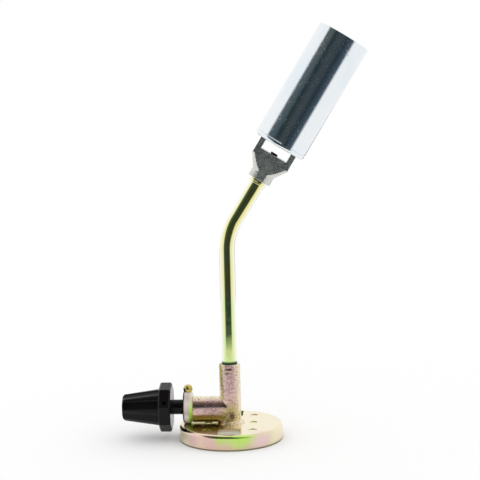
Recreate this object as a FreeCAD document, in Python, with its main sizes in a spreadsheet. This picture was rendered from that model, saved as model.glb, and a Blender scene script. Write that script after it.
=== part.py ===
"""Cartridge gas torch: a cap that locks onto a gas cartridge, a needle valve, a bent tube and a barrel.

The torch stands on the cap's rim. The origin is the centre of that rim, +Z is up, and +X points to the
side that the barrel leans to. The valve's axis runs along X, with the knob at its -X end.
"""
import FreeCAD, Part
import math
import os
import re

import Sketcher
from FreeCAD import Placement, Rotation, Vector

# Driving sizes: millimetres, and degrees for the angles.
SIZES = {
    # Clearances
    "fit_gap": 0.05,
    "running_gap": 0.05,
    "corner_gap": 0.3,
    # Stamped cap
    "cap_diameter": 54.0,
    "cap_height": 8.0,
    "cap_sheet": 1.2,
    "cap_corner": 1.6,
    "window_width": 11.4,
    "window_length": 10.7,
    "window_margin": 2.6,
    "clinch_diameter": 4.4,
    "clinch_depth": 0.35,
    "clinch_wall": 0.5,
    "clinch_column": 11.8,
    "clinch_row": 15.0,
    # Plate with the claws that hold the cartridge's collar
    "plate_sheet": 1.2,
    "claw_sheet": 1.1,
    "claw_width": 12.0,
    "claw_gap": 1.7,
    "claw_reach": 3.7,
    "claw_foot": 0.9,
    "key_width": 13.0,
    # Spigot, its nut and the pieces that seal the cartridge's nozzle
    "spigot_diameter": 9.0,
    "spigot_foot": 1.4,
    "washer_diameter": 17.0,
    "washer_sheet": 0.6,
    "nut_flats": 14.0,
    "nut_height": 2.6,
    "inlet_bore": 6.4,
    "guide_length": 3.0,
    "nozzle_bore": 4.4,
    "seal_length": 1.6,
    "seal_bore": 2.6,
    "filter_length": 0.8,
    # Cast valve body
    "post_diameter": 11.0,
    "post_height": 31.5,
    "post_groove_drop": 3.6,
    "post_groove_width": 0.9,
    "post_groove_depth": 0.35,
    "post_flare": 1.8,
    "post_chamfer": 0.5,
    "chamber_width": 10.8,
    "chamber_lift": 0.6,
    "chamber_setback": 7.3,
    "chamber_bore": 8.0,
    "socket_depth": 13.5,
    "seat_bore": 2.0,
    "seat_offset": 1.0,
    "riser_bore": 2.0,
    "riser_inset": 0.15,
    "outlet_bore": 3.0,
    "outlet_sump": 0.4,
    # Gland nut and its stop screw
    "gland_diameter": 16.8,
    "gland_width": 4.8,
    "gland_lift": 0.2,
    "gland_bevel": 1.3,
    "gland_edge": 0.4,
    "gland_thread": 9.0,
    "gland_shank": 6.0,
    "stop_diameter": 2.4,
    "stop_head_diameter": 5.2,
    "stop_head_low_angle": 28.0,
    "stop_head_high_angle": 52.0,
    "stop_slot_width": 0.8,
    "stop_slot_depth": 0.8,
    "stop_tip_gap": 0.25,
    # Spindle
    "spindle_diameter": 6.0,
    "valve_travel": 1.5,
    "stop_play": 0.3,
    "stop_groove_depth": 0.8,
    "o_ring_section": 1.9,
    "o_ring_station": 7.0,
    "land_width": 1.15,
    "needle_diameter": 3.8,
    "needle_shank": 0.8,
    "needle_tip": 1.2,
    "needle_tip_diameter": 1.2,
    "needle_gap": 0.1,
    # Knob
    "knob_gap": 0.3,
    "hub_diameter": 7.7,
    "hub_length": 5.9,
    "flange_diameter": 25.6,
    "flange_width": 6.3,
    "flange_edge": 0.7,
    "grip_length": 19.5,
    "grip_base_diameter": 19.2,
    "grip_end_diameter": 13.6,
    "grip_corner": 1.6,
    "flute_diameter": 11.0,
    "flute_depth": 0.9,
    "knob_bore_depth": 24.0,
    "knob_index_angle": 23.0,
    "grub_diameter": 3.0,
    "grub_length": 7.0,
    "grub_hex": 1.5,
    "grub_hex_depth": 2.0,
    # Gas tube
    "tube_diameter": 8.0,
    "tube_wall": 1.0,
    "bend_rise": 99.2,
    "bend_angle": 31.9,
    "bend_radius": 28.0,
    "incline_length": 32.75,
    "ferrule_wall": 0.8,
    "ferrule_length": 2.25,
    "ferrule_edge": 0.4,
    # Cast burner holder
    "neck_diameter": 12.2,
    "neck_length": 4.35,
    "neck_socket": 6.0,
    "neck_blend": 1.5,
    "cone_margin": 0.6,
    "cone_height": 6.9,
    "head_setback": 3.8,
    "head_depth": 11.4,
    "floor_height": 3.5,
    "arm_width": 2.8,
    "air_window_height": 5.1,
    "gas_bore": 3.0,
    "gas_bore_length": 2.5,
    # Jet
    "jet_diameter": 5.0,
    "jet_filter_length": 1.2,
    "jet_tip_diameter": 3.8,
    "jet_tip_height": 1.0,
    "jet_bore": 2.0,
    "jet_orifice": 0.6,
    "jet_orifice_length": 1.4,
    # Barrel and what is inside it
    "barrel_diameter": 28.0,
    "barrel_length": 64.3,
    "barrel_wall": 0.9,
    "barrel_corner": 1.4,
    "barrel_joint_height": 2.3,
    "barrel_joint_depth": 0.3,
    "mixer_wall": 0.9,
    "mixer_flange": 1.2,
    "mixer_length": 24.0,
    "mixer_throat_step": 1.0,
    "mixer_throat_station": 7.0,
    "flame_gap": 0.2,
    "flame_disc": 2.0,
    "flame_collar": 5.0,
    "flame_collar_wall": 0.9,
    "flame_port": 1.6,
    "flame_port_circle": 7.0,
    "flame_centre_port": 2.2,
    "air_port": 2.6,
    "air_port_circle": 20.2,
    "barrel_screw_diameter": 2.4,
    "barrel_screw_head": 4.2,
    "barrel_screw_gap": 0.8,
    "barrel_screw_head_height": 1.5,
    "barrel_screw_length": 6.0,
}

# Counts, and the turn of the flange in degrees
CLAWS = 3
WINDOWS = 2
FLANGE_SIDES = 8
FLANGE_PHASE = 10.5
FLUTES = 8
FLAME_PORTS = 8
AIR_PORTS = 12
HEX_SIDES = 6

# Places that several pieces share, as formulas of the sizes.
CAP_RADIUS = "cap_diameter / 2"
CAP_INNER = "(cap_diameter / 2 - cap_sheet)"
CAP_HOLE = "(spigot_diameter / 2 + fit_gap)"
CEILING = "(cap_height - cap_sheet)"
PLATE_FOOT = "(cap_height - cap_sheet - plate_sheet)"
WINDOW_OUTER = "(cap_diameter / 2 - window_margin)"
WINDOW_INNER = "(cap_diameter / 2 - window_margin - window_length)"
CLINCH_BOSS = "(clinch_diameter / 2 - clinch_wall)"
WASHER_FOOT = f"({PLATE_FOOT} - washer_sheet)"
NUT_FOOT = f"({WASHER_FOOT} - nut_height)"
INLET_FLOOR = "(spigot_foot + guide_length + seal_length + filter_length)"
VALVE_AXIS = "(cap_height + gland_lift + gland_diameter / 2)"
CHAMBER_FACE = "(cap_diameter / 2 - chamber_setback)"
GLAND_FACE = f"({CHAMBER_FACE} + gland_width)"
STOP_STATION = f"({CHAMBER_FACE} + gland_width / 2)"
POST_TOP = "(cap_height + post_height)"
SOCKET_FLOOR = f"({POST_TOP} - socket_depth)"
HUB_FACE = f"({GLAND_FACE} + knob_gap)"
FLANGE_FACE = f"({HUB_FACE} + hub_length)"
GRIP_BASE = f"({FLANGE_FACE} + flange_width)"
GRIP_END = f"({GRIP_BASE} + grip_length)"
SPINDLE_RADIUS = "spindle_diameter / 2"
BEND_HEIGHT = "(cap_height + bend_rise)"
TUBE_SOCKET = "(tube_diameter / 2 + fit_gap)"
FLOOR_FOOT = "(neck_length + cone_height)"
HEAD_HALF = "(barrel_diameter / 2 - head_setback)"
CONE_RADIUS = f"({HEAD_HALF} + cone_margin)"
FLOOR_TOP = f"({FLOOR_FOOT} + floor_height)"
HOLDER_TOP = f"({FLOOR_TOP} + air_window_height)"
JET_FOOT = "(neck_socket + gas_bore_length)"
SCREW_OFFSET = f"({HEAD_HALF} - arm_width / 2)"
BARREL_INNER = "(barrel_diameter / 2 - barrel_wall)"
MIXER_OUTER = f"({SCREW_OFFSET} - barrel_screw_head / 2 - barrel_screw_gap)"
MIXER_INNER = f"({MIXER_OUTER} - mixer_wall)"
FLANGE_TOP = "(barrel_wall + mixer_flange)"
MIXER_TOP = "(barrel_wall + mixer_length)"


def cells(formula):
    """Point each size's name in a formula at its cell in the sheet."""
    def cell(word):
        name = word.group()
        return f"Sizes.{name}" if name in SIZES else name
    return re.sub(r"[a-z_]+", cell, formula)


def bind(item, attribute, formula):
    """Drive one attribute of a document object by a formula of the sizes."""
    item.setExpression(attribute, cells(formula))


def read(doc, formula):
    """The present value of a formula, read from the document."""
    gauge = doc.getObject("Gauge")
    bind(gauge, "Reading", formula)
    gauge.recompute()
    return gauge.Reading


def new_document():
    """The document with its sheet of sizes and a gauge that reads formulas."""
    doc = FreeCAD.newDocument("GasTorch")
    sheet = doc.addObject("Spreadsheet::Sheet", "Sizes")
    for row, (name, number) in enumerate(SIZES.items(), start=1):
        sheet.set(f"A{row}", name)
        sheet.set(f"B{row}", str(number))
        sheet.setAlias(f"B{row}", name)
    gauge = doc.addObject("App::FeaturePython", "Gauge")
    gauge.addProperty("App::PropertyFloat", "Reading")
    doc.recompute()
    return doc


# Sketches


def new_body(doc, label):
    body = doc.addObject("PartDesign::Body", label)
    body.Label = label
    return body


def origin_feature(body, role):
    return next(item for item in body.Origin.OriginFeatures if item.Role == role)


def new_sketch(body, name, plane, lift="0"):
    """A sketch on one of the body's own planes, moved along that plane's normal."""
    sketch = body.newObject("Sketcher::SketchObject", f"{body.Name}_{name}")
    sketch.AttachmentSupport = (origin_feature(body, plane), [""])
    sketch.MapMode = "FlatFace"
    bind(sketch, "AttachmentOffset.Base.z", lift)
    return sketch


def fix_point(sketch, geometry, end, place):
    """Hold a point of a sketch at two formulas, measured from the sketch's origin."""
    for kind, formula in zip(("DistanceX", "DistanceY"), place):
        start = read(sketch.Document, formula)
        index = sketch.addConstraint(Sketcher.Constraint(kind, -1, 1, geometry, end, start))
        bind(sketch, f"Constraints[{index}]", formula)


def draw_outline(sketch, corners):
    """A closed outline of straight lines through the corners."""
    doc = sketch.Document
    points = [Vector(read(doc, x), read(doc, y), 0) for x, y in corners]
    first = sketch.GeometryCount
    count = len(corners)
    for index in range(count):
        sketch.addGeometry(Part.LineSegment(points[index], points[(index + 1) % count]))
    for index in range(count):
        follower = first + (index + 1) % count
        sketch.addConstraint(Sketcher.Constraint("Coincident", first + index, 2, follower, 1))
    for index, place in enumerate(corners):
        fix_point(sketch, first + index, 1, place)


def draw_circle(sketch, centre, radius):
    doc = sketch.Document
    middle = Vector(read(doc, centre[0]), read(doc, centre[1]), 0)
    index = sketch.addGeometry(Part.Circle(middle, Vector(0, 0, 1), read(doc, radius)))
    fix_point(sketch, index, 3, centre)
    held = sketch.addConstraint(Sketcher.Constraint("Radius", index, read(doc, radius)))
    bind(sketch, f"Constraints[{held}]", radius)


def rectangle(width, low, high):
    """Corners of a rectangle that is centred on the sketch's upright axis."""
    return [(f"-({width}) / 2", low), (f"({width}) / 2", low),
            (f"({width}) / 2", high), (f"-({width}) / 2", high)]


def regular_outline(sides, radius, turn):
    """Corners of a regular outline, the first corner turned by some degrees from the flat axis."""
    angles = [turn + 360 / sides * index for index in range(sides)]
    return [(f"({radius}) * cos({angle})", f"({radius}) * sin({angle})") for angle in angles]


# Features


def revolve(body, name, corners, axis="V_Axis"):
    """Turn an outline on the XZ plane about the body's upright axis, or its long axis."""
    sketch = new_sketch(body, f"{name}Outline", "XZ_Plane")
    draw_outline(sketch, corners)
    feature = body.newObject("PartDesign::Revolution", f"{body.Name}_{name}")
    feature.Profile = sketch
    feature.ReferenceAxis = (sketch, [axis])
    feature.Angle = 360
    body.Document.recompute()
    return feature


def groove(body, name, outlines):
    """Turn outlines on the XZ plane about the upright axis and take them away."""
    before = body.Shape.Volume
    sketch = new_sketch(body, f"{name}Outline", "XZ_Plane")
    for corners in outlines:
        draw_outline(sketch, corners)
    feature = body.newObject("PartDesign::Groove", f"{body.Name}_{name}")
    feature.Profile = sketch
    feature.ReferenceAxis = (sketch, ["V_Axis"])
    feature.Angle = 360
    body.Document.recompute()
    if body.Shape.Volume >= before:
        raise RuntimeError(f"{feature.Name} cuts nothing")
    return feature


def extrude(body, kind, name, sketch, length, symmetric=False, flipped=False):
    """Pad or pocket a sketch."""
    feature = body.newObject(f"PartDesign::{kind}", f"{body.Name}_{name}")
    feature.Profile = sketch
    feature.SideType = "Symmetric" if symmetric else "One side"
    feature.Reversed = flipped
    bind(feature, "Length", length)
    body.Document.recompute()
    return feature


def cut(body, name, sketch, length, symmetric=False, flipped=False):
    """Pocket a sketch and make sure that it took something away."""
    before = body.Shape.Volume
    feature = extrude(body, "Pocket", name, sketch, length, symmetric, flipped)
    if body.Shape.Volume >= before:
        raise RuntimeError(f"{feature.Name} cuts nothing")
    return feature


def bore(body, name, radius, foot, depth, centre=("0", "0"), plane="XY_Plane", upward=True):
    """Drill a round hole from a plane."""
    sketch = new_sketch(body, f"{name}Circle", plane, foot)
    draw_circle(sketch, centre, radius)
    return cut(body, name, sketch, depth, flipped=upward)


def repeat(body, name, features, count, axis):
    """Copy features round one of the body's axes."""
    pattern = body.newObject("PartDesign::PolarPattern", f"{body.Name}_{name}")
    pattern.Originals = features
    pattern.Axis = (origin_feature(body, axis), [""])
    pattern.Angle = 360
    pattern.Occurrences = count
    body.Tip = pattern
    body.Document.recompute()
    return pattern


def ring_edges(shape, axis, radius, station):
    """Names of the round edges of one radius at one station along an axis."""
    names = []
    for index, edge in enumerate(shape.Edges, start=1):
        curve = edge.Curve
        if not isinstance(curve, Part.Circle):
            continue
        along = curve.Center.dot(axis)
        if abs(curve.Radius - radius) < 1e-4 and abs(along - station) < 1e-4:
            names.append(f"Edge{index}")
    return names


def round_ring(body, name, radius, station, size, axis=Vector(0, 0, 1), kind="Fillet"):
    """Fillet or chamfer the round edge at a radius and a station along the axis."""
    doc = body.Document
    base = body.Tip
    edges = ring_edges(base.Shape, axis, read(doc, radius), read(doc, station))
    feature = body.newObject(f"PartDesign::{kind}", f"{body.Name}_{name}")
    feature.Base = (base, edges)
    bind(feature, "Radius" if kind == "Fillet" else "Size", size)
    doc.recompute()
    return feature


def turned_ring(doc, label, inner, outer, foot, top):
    """A plain ring or disc, turned about the upright axis."""
    body = new_body(doc, label)
    revolve(body, "Ring", [(inner, foot), (outer, foot), (outer, top), (inner, top)])
    return body


# Places


def put_on_valve_axis(part):
    """Move a piece that is made about the X axis up to the valve's axis."""
    bind(part, "Placement.Base.z", VALVE_AXIS)


def turn_with_knob(part):
    """Put a piece on the valve's axis, turned as the knob stands when the valve is shut."""
    part.Placement = Placement(Vector(), Rotation(Vector(-1, 0, 0), 1))
    bind(part, "Placement.Rotation.Angle", "knob_index_angle")
    put_on_valve_axis(part)


def put_on_incline(part, station="0"):
    """Stand a piece on the tube's sloping run, some way above the holder's lower end."""
    part.Placement = Placement(Vector(), Rotation(Vector(0, 1, 0), 1))
    bind(part, "Placement.Rotation.Angle", "bend_angle")
    bind(part, "Placement.Base.x", f"(incline_length + {station}) * sin(bend_angle)")
    bind(part, "Placement.Base.z", f"{BEND_HEIGHT} + (incline_length + {station}) * cos(bend_angle)")


# Cap, lock plate and the pieces under the valve body


def clinch_places():
    """Centres of the six clinch joints between the cap and the lock plate."""
    columns = ("clinch_column", "-clinch_column")
    rows = ("clinch_row", "0", "-clinch_row")
    return [(column, row) for column in columns for row in rows]


def make_base_cap(doc):
    body = new_body(doc, "base_cap")
    revolve(body, "Shell", [
        (CAP_HOLE, CEILING), (CAP_INNER, CEILING), (CAP_INNER, "0"),
        (CAP_RADIUS, "0"), (CAP_RADIUS, "cap_height"), (CAP_HOLE, "cap_height")])
    round_ring(body, "OuterCorner", CAP_RADIUS, "cap_height", "cap_corner")
    round_ring(body, "InnerCorner", CAP_INNER, CEILING, "cap_corner - cap_sheet")
    sketch = new_sketch(body, "WindowOutline", "XY_Plane", "cap_height")
    draw_outline(sketch, rectangle("window_width", f"-{WINDOW_OUTER}", f"-{WINDOW_INNER}"))
    window = cut(body, "Window", sketch, "cap_sheet")
    repeat(body, "Windows", [window], WINDOWS, "Z_Axis")
    bosses = new_sketch(body, "ClinchBossCircles", "XY_Plane", CEILING)
    dimples = new_sketch(body, "ClinchCircles", "XY_Plane", "cap_height")
    for place in clinch_places():
        draw_circle(bosses, place, CLINCH_BOSS)
        draw_circle(dimples, place, "clinch_diameter / 2")
    extrude(body, "Pad", "ClinchBosses", bosses, "clinch_depth", flipped=True)
    cut(body, "ClinchDimples", dimples, "clinch_depth")
    return body


def make_lock_plate(doc):
    body = new_body(doc, "lock_plate")
    disc = new_sketch(body, "DiscOutline", "XY_Plane", PLATE_FOOT)
    draw_circle(disc, ("0", "0"), f"{CAP_INNER} - (cap_corner - cap_sheet) - fit_gap")
    draw_circle(disc, ("0", "0"), CAP_HOLE)
    extrude(body, "Pad", "Disc", disc, "plate_sheet")
    outer = f"({CAP_INNER} - claw_gap)"
    hook = "(claw_foot + claw_sheet)"
    profile = new_sketch(body, "ClawOutline", "YZ_Plane")
    draw_outline(profile, [
        (f"-{outer}", PLATE_FOOT), (f"-{outer}", "claw_foot"),
        (f"-({outer} - claw_reach)", "claw_foot"), (f"-({outer} - claw_reach)", hook),
        (f"-({outer} - claw_sheet)", hook), (f"-({outer} - claw_sheet)", PLATE_FOOT)])
    claw = extrude(body, "Pad", "Claw", profile, "claw_width", symmetric=True)
    repeat(body, "Claws", [claw], CLAWS, "Z_Axis")
    key = new_sketch(body, "KeyOutline", "XY_Plane", CEILING)
    draw_outline(key, rectangle("key_width", WINDOW_INNER, CAP_RADIUS))
    cut(body, "Key", key, "plate_sheet")
    holes = new_sketch(body, "ClinchHoles", "XY_Plane", CEILING)
    for place in clinch_places():
        draw_circle(holes, place, f"{CLINCH_BOSS} + fit_gap")
    cut(body, "ClinchBores", holes, "plate_sheet")
    return body


def make_nut_washer(doc):
    return turned_ring(doc, "nut_washer", CAP_HOLE, "washer_diameter / 2", WASHER_FOOT, PLATE_FOOT)


def make_clamp_nut(doc):
    """Hexagon nut with its upper and lower corners turned off."""
    body = new_body(doc, "clamp_nut")
    corner = f"nut_flats / 2 / cos({180 / HEX_SIDES})"
    hexagon = new_sketch(body, "Hexagon", "XY_Plane", NUT_FOOT)
    draw_outline(hexagon, regular_outline(HEX_SIDES, corner, 0))
    extrude(body, "Pad", "Blank", hexagon, "nut_height")
    bore(body, "Thread", CAP_HOLE, NUT_FOOT, "nut_height")
    flat = "nut_flats / 2"
    edge = f"({corner} - {flat})"
    groove(body, "Corners", [
        [(flat, NUT_FOOT), (f"{corner} + {edge}", NUT_FOOT), (f"{corner} + {edge}", f"{NUT_FOOT} + {edge}")],
        [(flat, WASHER_FOOT), (f"{corner} + {edge}", WASHER_FOOT),
         (f"{corner} + {edge}", f"{WASHER_FOOT} - {edge}")]])
    return body


def make_inlet_guide(doc):
    top = "spigot_foot + guide_length"
    return turned_ring(doc, "inlet_guide", "nozzle_bore / 2", "inlet_bore / 2 - fit_gap", "spigot_foot", top)


def make_inlet_seal(doc):
    foot = "spigot_foot + guide_length"
    top = f"{foot} + seal_length"
    return turned_ring(doc, "inlet_seal", "seal_bore / 2", "inlet_bore / 2 - fit_gap", foot, top)


def make_inlet_filter(doc):
    foot = f"{INLET_FLOOR} - filter_length"
    return turned_ring(doc, "inlet_filter", "0", "inlet_bore / 2 - fit_gap", foot, INLET_FLOOR)


# Valve


def draw_slot(sketch, low, high, radius):
    """An upright slot: two half circles about points on the upright axis, joined by straight sides."""
    doc = sketch.Document
    bottom, top, side = read(doc, low), read(doc, high), read(doc, radius)
    sketch.addGeometry(Part.LineSegment(Vector(side, bottom, 0), Vector(side, top, 0)))
    sketch.addGeometry(Part.Arc(Vector(side, top, 0), Vector(0, top + side, 0), Vector(-side, top, 0)))
    sketch.addGeometry(Part.LineSegment(Vector(-side, top, 0), Vector(-side, bottom, 0)))
    lowest = Vector(0, bottom - side, 0)
    sketch.addGeometry(Part.Arc(Vector(-side, bottom, 0), lowest, Vector(side, bottom, 0)))
    for index in range(4):
        sketch.addConstraint(Sketcher.Constraint("Tangent", index, 2, (index + 1) % 4, 1))
    fix_point(sketch, 1, 3, ("0", high))
    fix_point(sketch, 3, 3, ("0", low))
    held = sketch.addConstraint(Sketcher.Constraint("Radius", 1, side))
    bind(sketch, f"Constraints[{held}]", radius)


def make_valve_body(doc):
    """Cast elbow: a post over the cap, and a chamber that is taller than wide to clear the gas riser."""
    body = new_body(doc, "valve_body")
    post = "post_diameter / 2"
    groove_top = f"({POST_TOP} - post_groove_drop)"
    groove_foot = f"({groove_top} - post_groove_width)"
    groove = "(post_diameter / 2 - post_groove_depth)"
    revolve(body, "Post", [
        ("0", "spigot_foot"), ("spigot_diameter / 2", "spigot_foot"), ("spigot_diameter / 2", "cap_height"),
        ("post_diameter / 2 + post_flare", "cap_height"), (post, "cap_height + post_flare"),
        (post, groove_foot), (groove, f"{groove_foot} + post_groove_depth"),
        (groove, f"{groove_top} - post_groove_depth"), (post, groove_top),
        (post, f"{POST_TOP} - post_chamfer"), ("post_diameter / 2 - post_chamfer", POST_TOP),
        ("0", POST_TOP)])
    section = new_sketch(body, "ChamberSection", "YZ_Plane")
    low = "(cap_height + chamber_lift + chamber_width / 2)"
    draw_slot(section, low, VALVE_AXIS, "chamber_width / 2")
    extrude(body, "Pad", "Chamber", section, CHAMBER_FACE, flipped=True)
    axis = ("0", VALVE_AXIS)
    face = f"-{CHAMBER_FACE}"
    bore(body, "GlandBore", "gland_thread / 2 + fit_gap", face, "gland_shank", axis, "YZ_Plane")
    bore(body, "ChamberBore", "chamber_bore / 2", face, f"{CHAMBER_FACE} - seat_offset", axis, "YZ_Plane")
    outlet = "(tube_diameter / 2 - tube_wall - outlet_bore / 2)"
    bore(body, "SeatBore", "seat_bore / 2", "-seat_offset", f"seat_offset + {outlet}", axis, "YZ_Plane")
    drop = f"{POST_TOP} - {VALVE_AXIS} + seat_bore / 2 + outlet_sump"
    bore(body, "OutletBore", "outlet_bore / 2", POST_TOP, drop, (outlet, "0"), upward=False)
    bore(body, "TubeSocket", TUBE_SOCKET, POST_TOP, "socket_depth", upward=False)
    bore(body, "InletBore", "inlet_bore / 2", "spigot_foot", f"{INLET_FLOOR} - spigot_foot")
    riser = "-(inlet_bore / 2 - riser_bore / 2 - riser_inset)"
    bore(body, "Riser", "riser_bore / 2", "spigot_foot", f"{VALVE_AXIS} - spigot_foot", (riser, "0"))
    return body


def make_gland_nut(doc):
    """Collar that screws into the chamber and carries the spindle's thread."""
    body = new_body(doc, "gland_nut")
    hole = f"({SPINDLE_RADIUS} + running_gap)"
    rim = "gland_diameter / 2"
    shank = "gland_thread / 2"
    end = f"-({CHAMBER_FACE} - gland_shank)"
    revolve(body, "Turned", [
        (f"-{GLAND_FACE}", hole), (end, hole), (end, shank), (f"-{CHAMBER_FACE}", shank),
        (f"-{CHAMBER_FACE}", f"{rim} - gland_bevel"), (f"-({CHAMBER_FACE} + gland_bevel)", rim),
        (f"-({GLAND_FACE} - gland_edge)", rim), (f"-{GLAND_FACE}", f"{rim} - gland_edge")], "H_Axis")
    bore(body, "StopBore", "stop_diameter / 2 + fit_gap", "0", "gland_diameter", (f"-{STOP_STATION}", "0"))
    put_on_valve_axis(body)
    return body


def make_stop_screw(doc):
    """Round-headed screw whose tip stands in the spindle's groove, so the spindle can't be unscrewed."""
    head = doc.addObject("Part::Sphere", "StopHead")
    bind(head, "Radius", "stop_head_diameter / 2")
    bind(head, "Angle1", "-stop_head_low_angle")
    bind(head, "Angle2", "stop_head_high_angle")
    low = "stop_head_diameter / 2 * sin(stop_head_low_angle)"
    high = "stop_head_diameter / 2 * sin(stop_head_high_angle)"
    bind(head, "Placement.Base.z", f"gland_diameter / 2 + {low}")
    tip = f"({SPINDLE_RADIUS} - stop_groove_depth + stop_tip_gap)"
    shank = doc.addObject("Part::Cylinder", "StopShank")
    bind(shank, "Radius", "stop_diameter / 2")
    bind(shank, "Height", f"gland_diameter / 2 + {low} - {tip}")
    bind(shank, "Placement.Base.z", tip)
    slot = doc.addObject("Part::Box", "StopSlot")
    bind(slot, "Length", "stop_slot_width")
    bind(slot, "Width", "stop_head_diameter")
    bind(slot, "Height", "stop_head_diameter")
    bind(slot, "Placement.Base.x", "-stop_slot_width / 2")
    bind(slot, "Placement.Base.y", "-stop_head_diameter / 2")
    bind(slot, "Placement.Base.z", f"gland_diameter / 2 + {low} + {high} - stop_slot_depth")
    whole = doc.addObject("Part::Fuse", "StopBlank")
    whole.Base = head
    whole.Tool = shank
    screw = doc.addObject("Part::Cut", "stop_screw")
    screw.Base = whole
    screw.Tool = slot
    bind(screw, "Placement.Base.x", f"-{STOP_STATION}")
    put_on_valve_axis(screw)
    return screw


def make_spindle(doc):
    """Needle spindle: knob end, threaded run with the stop groove, O-ring groove, land and needle."""
    body = new_body(doc, "spindle")
    full = SPINDLE_RADIUS
    stop = f"({SPINDLE_RADIUS} - stop_groove_depth)"
    groove_left = f"-({STOP_STATION} + stop_diameter / 2 + stop_play)"
    groove_right = f"-({STOP_STATION} - stop_diameter / 2 - stop_play - valve_travel)"
    ring = "(seat_offset + o_ring_station)"
    half = "(o_ring_section / 2 + fit_gap)"
    floor = "(chamber_bore / 2 - o_ring_section - 2 * fit_gap)"
    land = f"({ring} - {half} - land_width)"
    at_seat = "(seat_bore / 2 - needle_gap)"
    end = f"-({HUB_FACE} + knob_bore_depth - knob_gap)"
    revolve(body, "Turned", [
        (end, "0"), (end, full), (groove_left, full), (groove_left, stop), (groove_right, stop),
        (groove_right, full), (f"-({ring} + {half})", full), (f"-({ring} + {half})", floor),
        (f"-({ring} - {half})", floor), (f"-({ring} - {half})", full), (f"-{land}", full),
        (f"-{land}", "needle_diameter / 2"), (f"-({land} - needle_shank)", "needle_diameter / 2"),
        ("-seat_offset", at_seat), ("needle_tip - seat_offset", "needle_tip_diameter / 2"),
        ("needle_tip - seat_offset", "0")], "H_Axis")
    turn_with_knob(body)
    return body


def make_stem_o_ring(doc):
    ring = doc.addObject("Part::Torus", "stem_o_ring")
    bind(ring, "Radius1", "chamber_bore / 2 - o_ring_section / 2 - fit_gap")
    bind(ring, "Radius2", "o_ring_section / 2")
    ring.Placement = Placement(Vector(), Rotation(Vector(0, 1, 0), 90))
    bind(ring, "Placement.Base.x", "-(seat_offset + o_ring_station)")
    put_on_valve_axis(ring)
    return ring


# Knob


def cut_flutes(body):
    """Round flutes down the tapering grip, each a straight sweep that stops at the flange."""
    base = "(grip_base_diameter / 2 + flute_diameter / 2 - flute_depth)"
    end = "(grip_end_diameter / 2 + flute_diameter / 2 - flute_depth)"
    section = new_sketch(body, "FluteSection", "YZ_Plane", f"-{GRIP_BASE}")
    draw_circle(section, ("0", base), "flute_diameter / 2")
    path = new_sketch(body, "FlutePath", "XZ_Plane")
    doc = body.Document
    places = [(f"-{GRIP_BASE}", base), (f"-{GRIP_END}", end)]
    points = [Vector(read(doc, x), read(doc, y), 0) for x, y in places]
    path.addGeometry(Part.LineSegment(*points))
    for index, place in enumerate(places, start=1):
        fix_point(path, 0, index, place)
    doc.recompute()
    flute = body.newObject("PartDesign::SubtractivePipe", "knob_Flute")
    flute.Profile = section
    flute.Spine = (path, ["Edge1"])
    doc.recompute()
    return repeat(body, "Flutes", [flute], FLUTES, "X_Axis")


def make_knob(doc):
    """Moulded knob: fluted tapering grip, eight-sided flange and a hub that reaches the gland nut."""
    body = new_body(doc, "knob")
    revolve(body, "Grip", [
        (f"-{GRIP_BASE}", "0"), (f"-{GRIP_BASE}", "grip_base_diameter / 2"),
        (f"-{GRIP_END}", "grip_end_diameter / 2"), (f"-{GRIP_END}", "0")], "H_Axis")
    x_axis = Vector(1, 0, 0)
    round_ring(body, "EndCorner", "grip_end_diameter / 2", f"-{GRIP_END}", "grip_corner", x_axis)
    cut_flutes(body)
    sides = new_sketch(body, "FlangeOutline", "YZ_Plane", f"-{GRIP_BASE}")
    draw_outline(sides, regular_outline(FLANGE_SIDES, "flange_diameter / 2", FLANGE_PHASE))
    flange = extrude(body, "Pad", "Flange", sides, "flange_width")
    rims = [f"Edge{index}" for index, edge in enumerate(flange.Shape.Edges, start=1)
            if is_flange_rim(doc, edge)]
    bevel = body.newObject("PartDesign::Chamfer", "knob_FlangeBevel")
    bevel.Base = (flange, rims)
    bind(bevel, "Size", "flange_edge")
    doc.recompute()
    hub = new_sketch(body, "HubOutline", "YZ_Plane", f"-{FLANGE_FACE}")
    draw_circle(hub, ("0", "0"), "hub_diameter / 2")
    extrude(body, "Pad", "Hub", hub, "hub_length")
    hole = f"{SPINDLE_RADIUS} + fit_gap"
    bore(body, "SpindleBore", hole, f"-{HUB_FACE}", "knob_bore_depth", plane="YZ_Plane", upward=False)
    grub = (f"-({FLANGE_FACE} + flange_width / 2)", "0")
    bore(body, "GrubBore", "grub_diameter / 2 + fit_gap", "0", "flange_diameter", grub, "XZ_Plane")
    turn_with_knob(body)
    return body


def is_flange_rim(doc, edge):
    """Whether an edge is one of the straight sides of the flange's two faces."""
    ends = [vertex.Point for vertex in edge.Vertexes]
    if len(ends) != 2:
        return False
    level = abs(ends[0].x - ends[1].x) < 1e-6
    reach = read(doc, "flange_diameter / 2") - 1e-4
    return level and all(abs(Vector(0, end.y, end.z).Length) > reach for end in ends)


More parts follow.
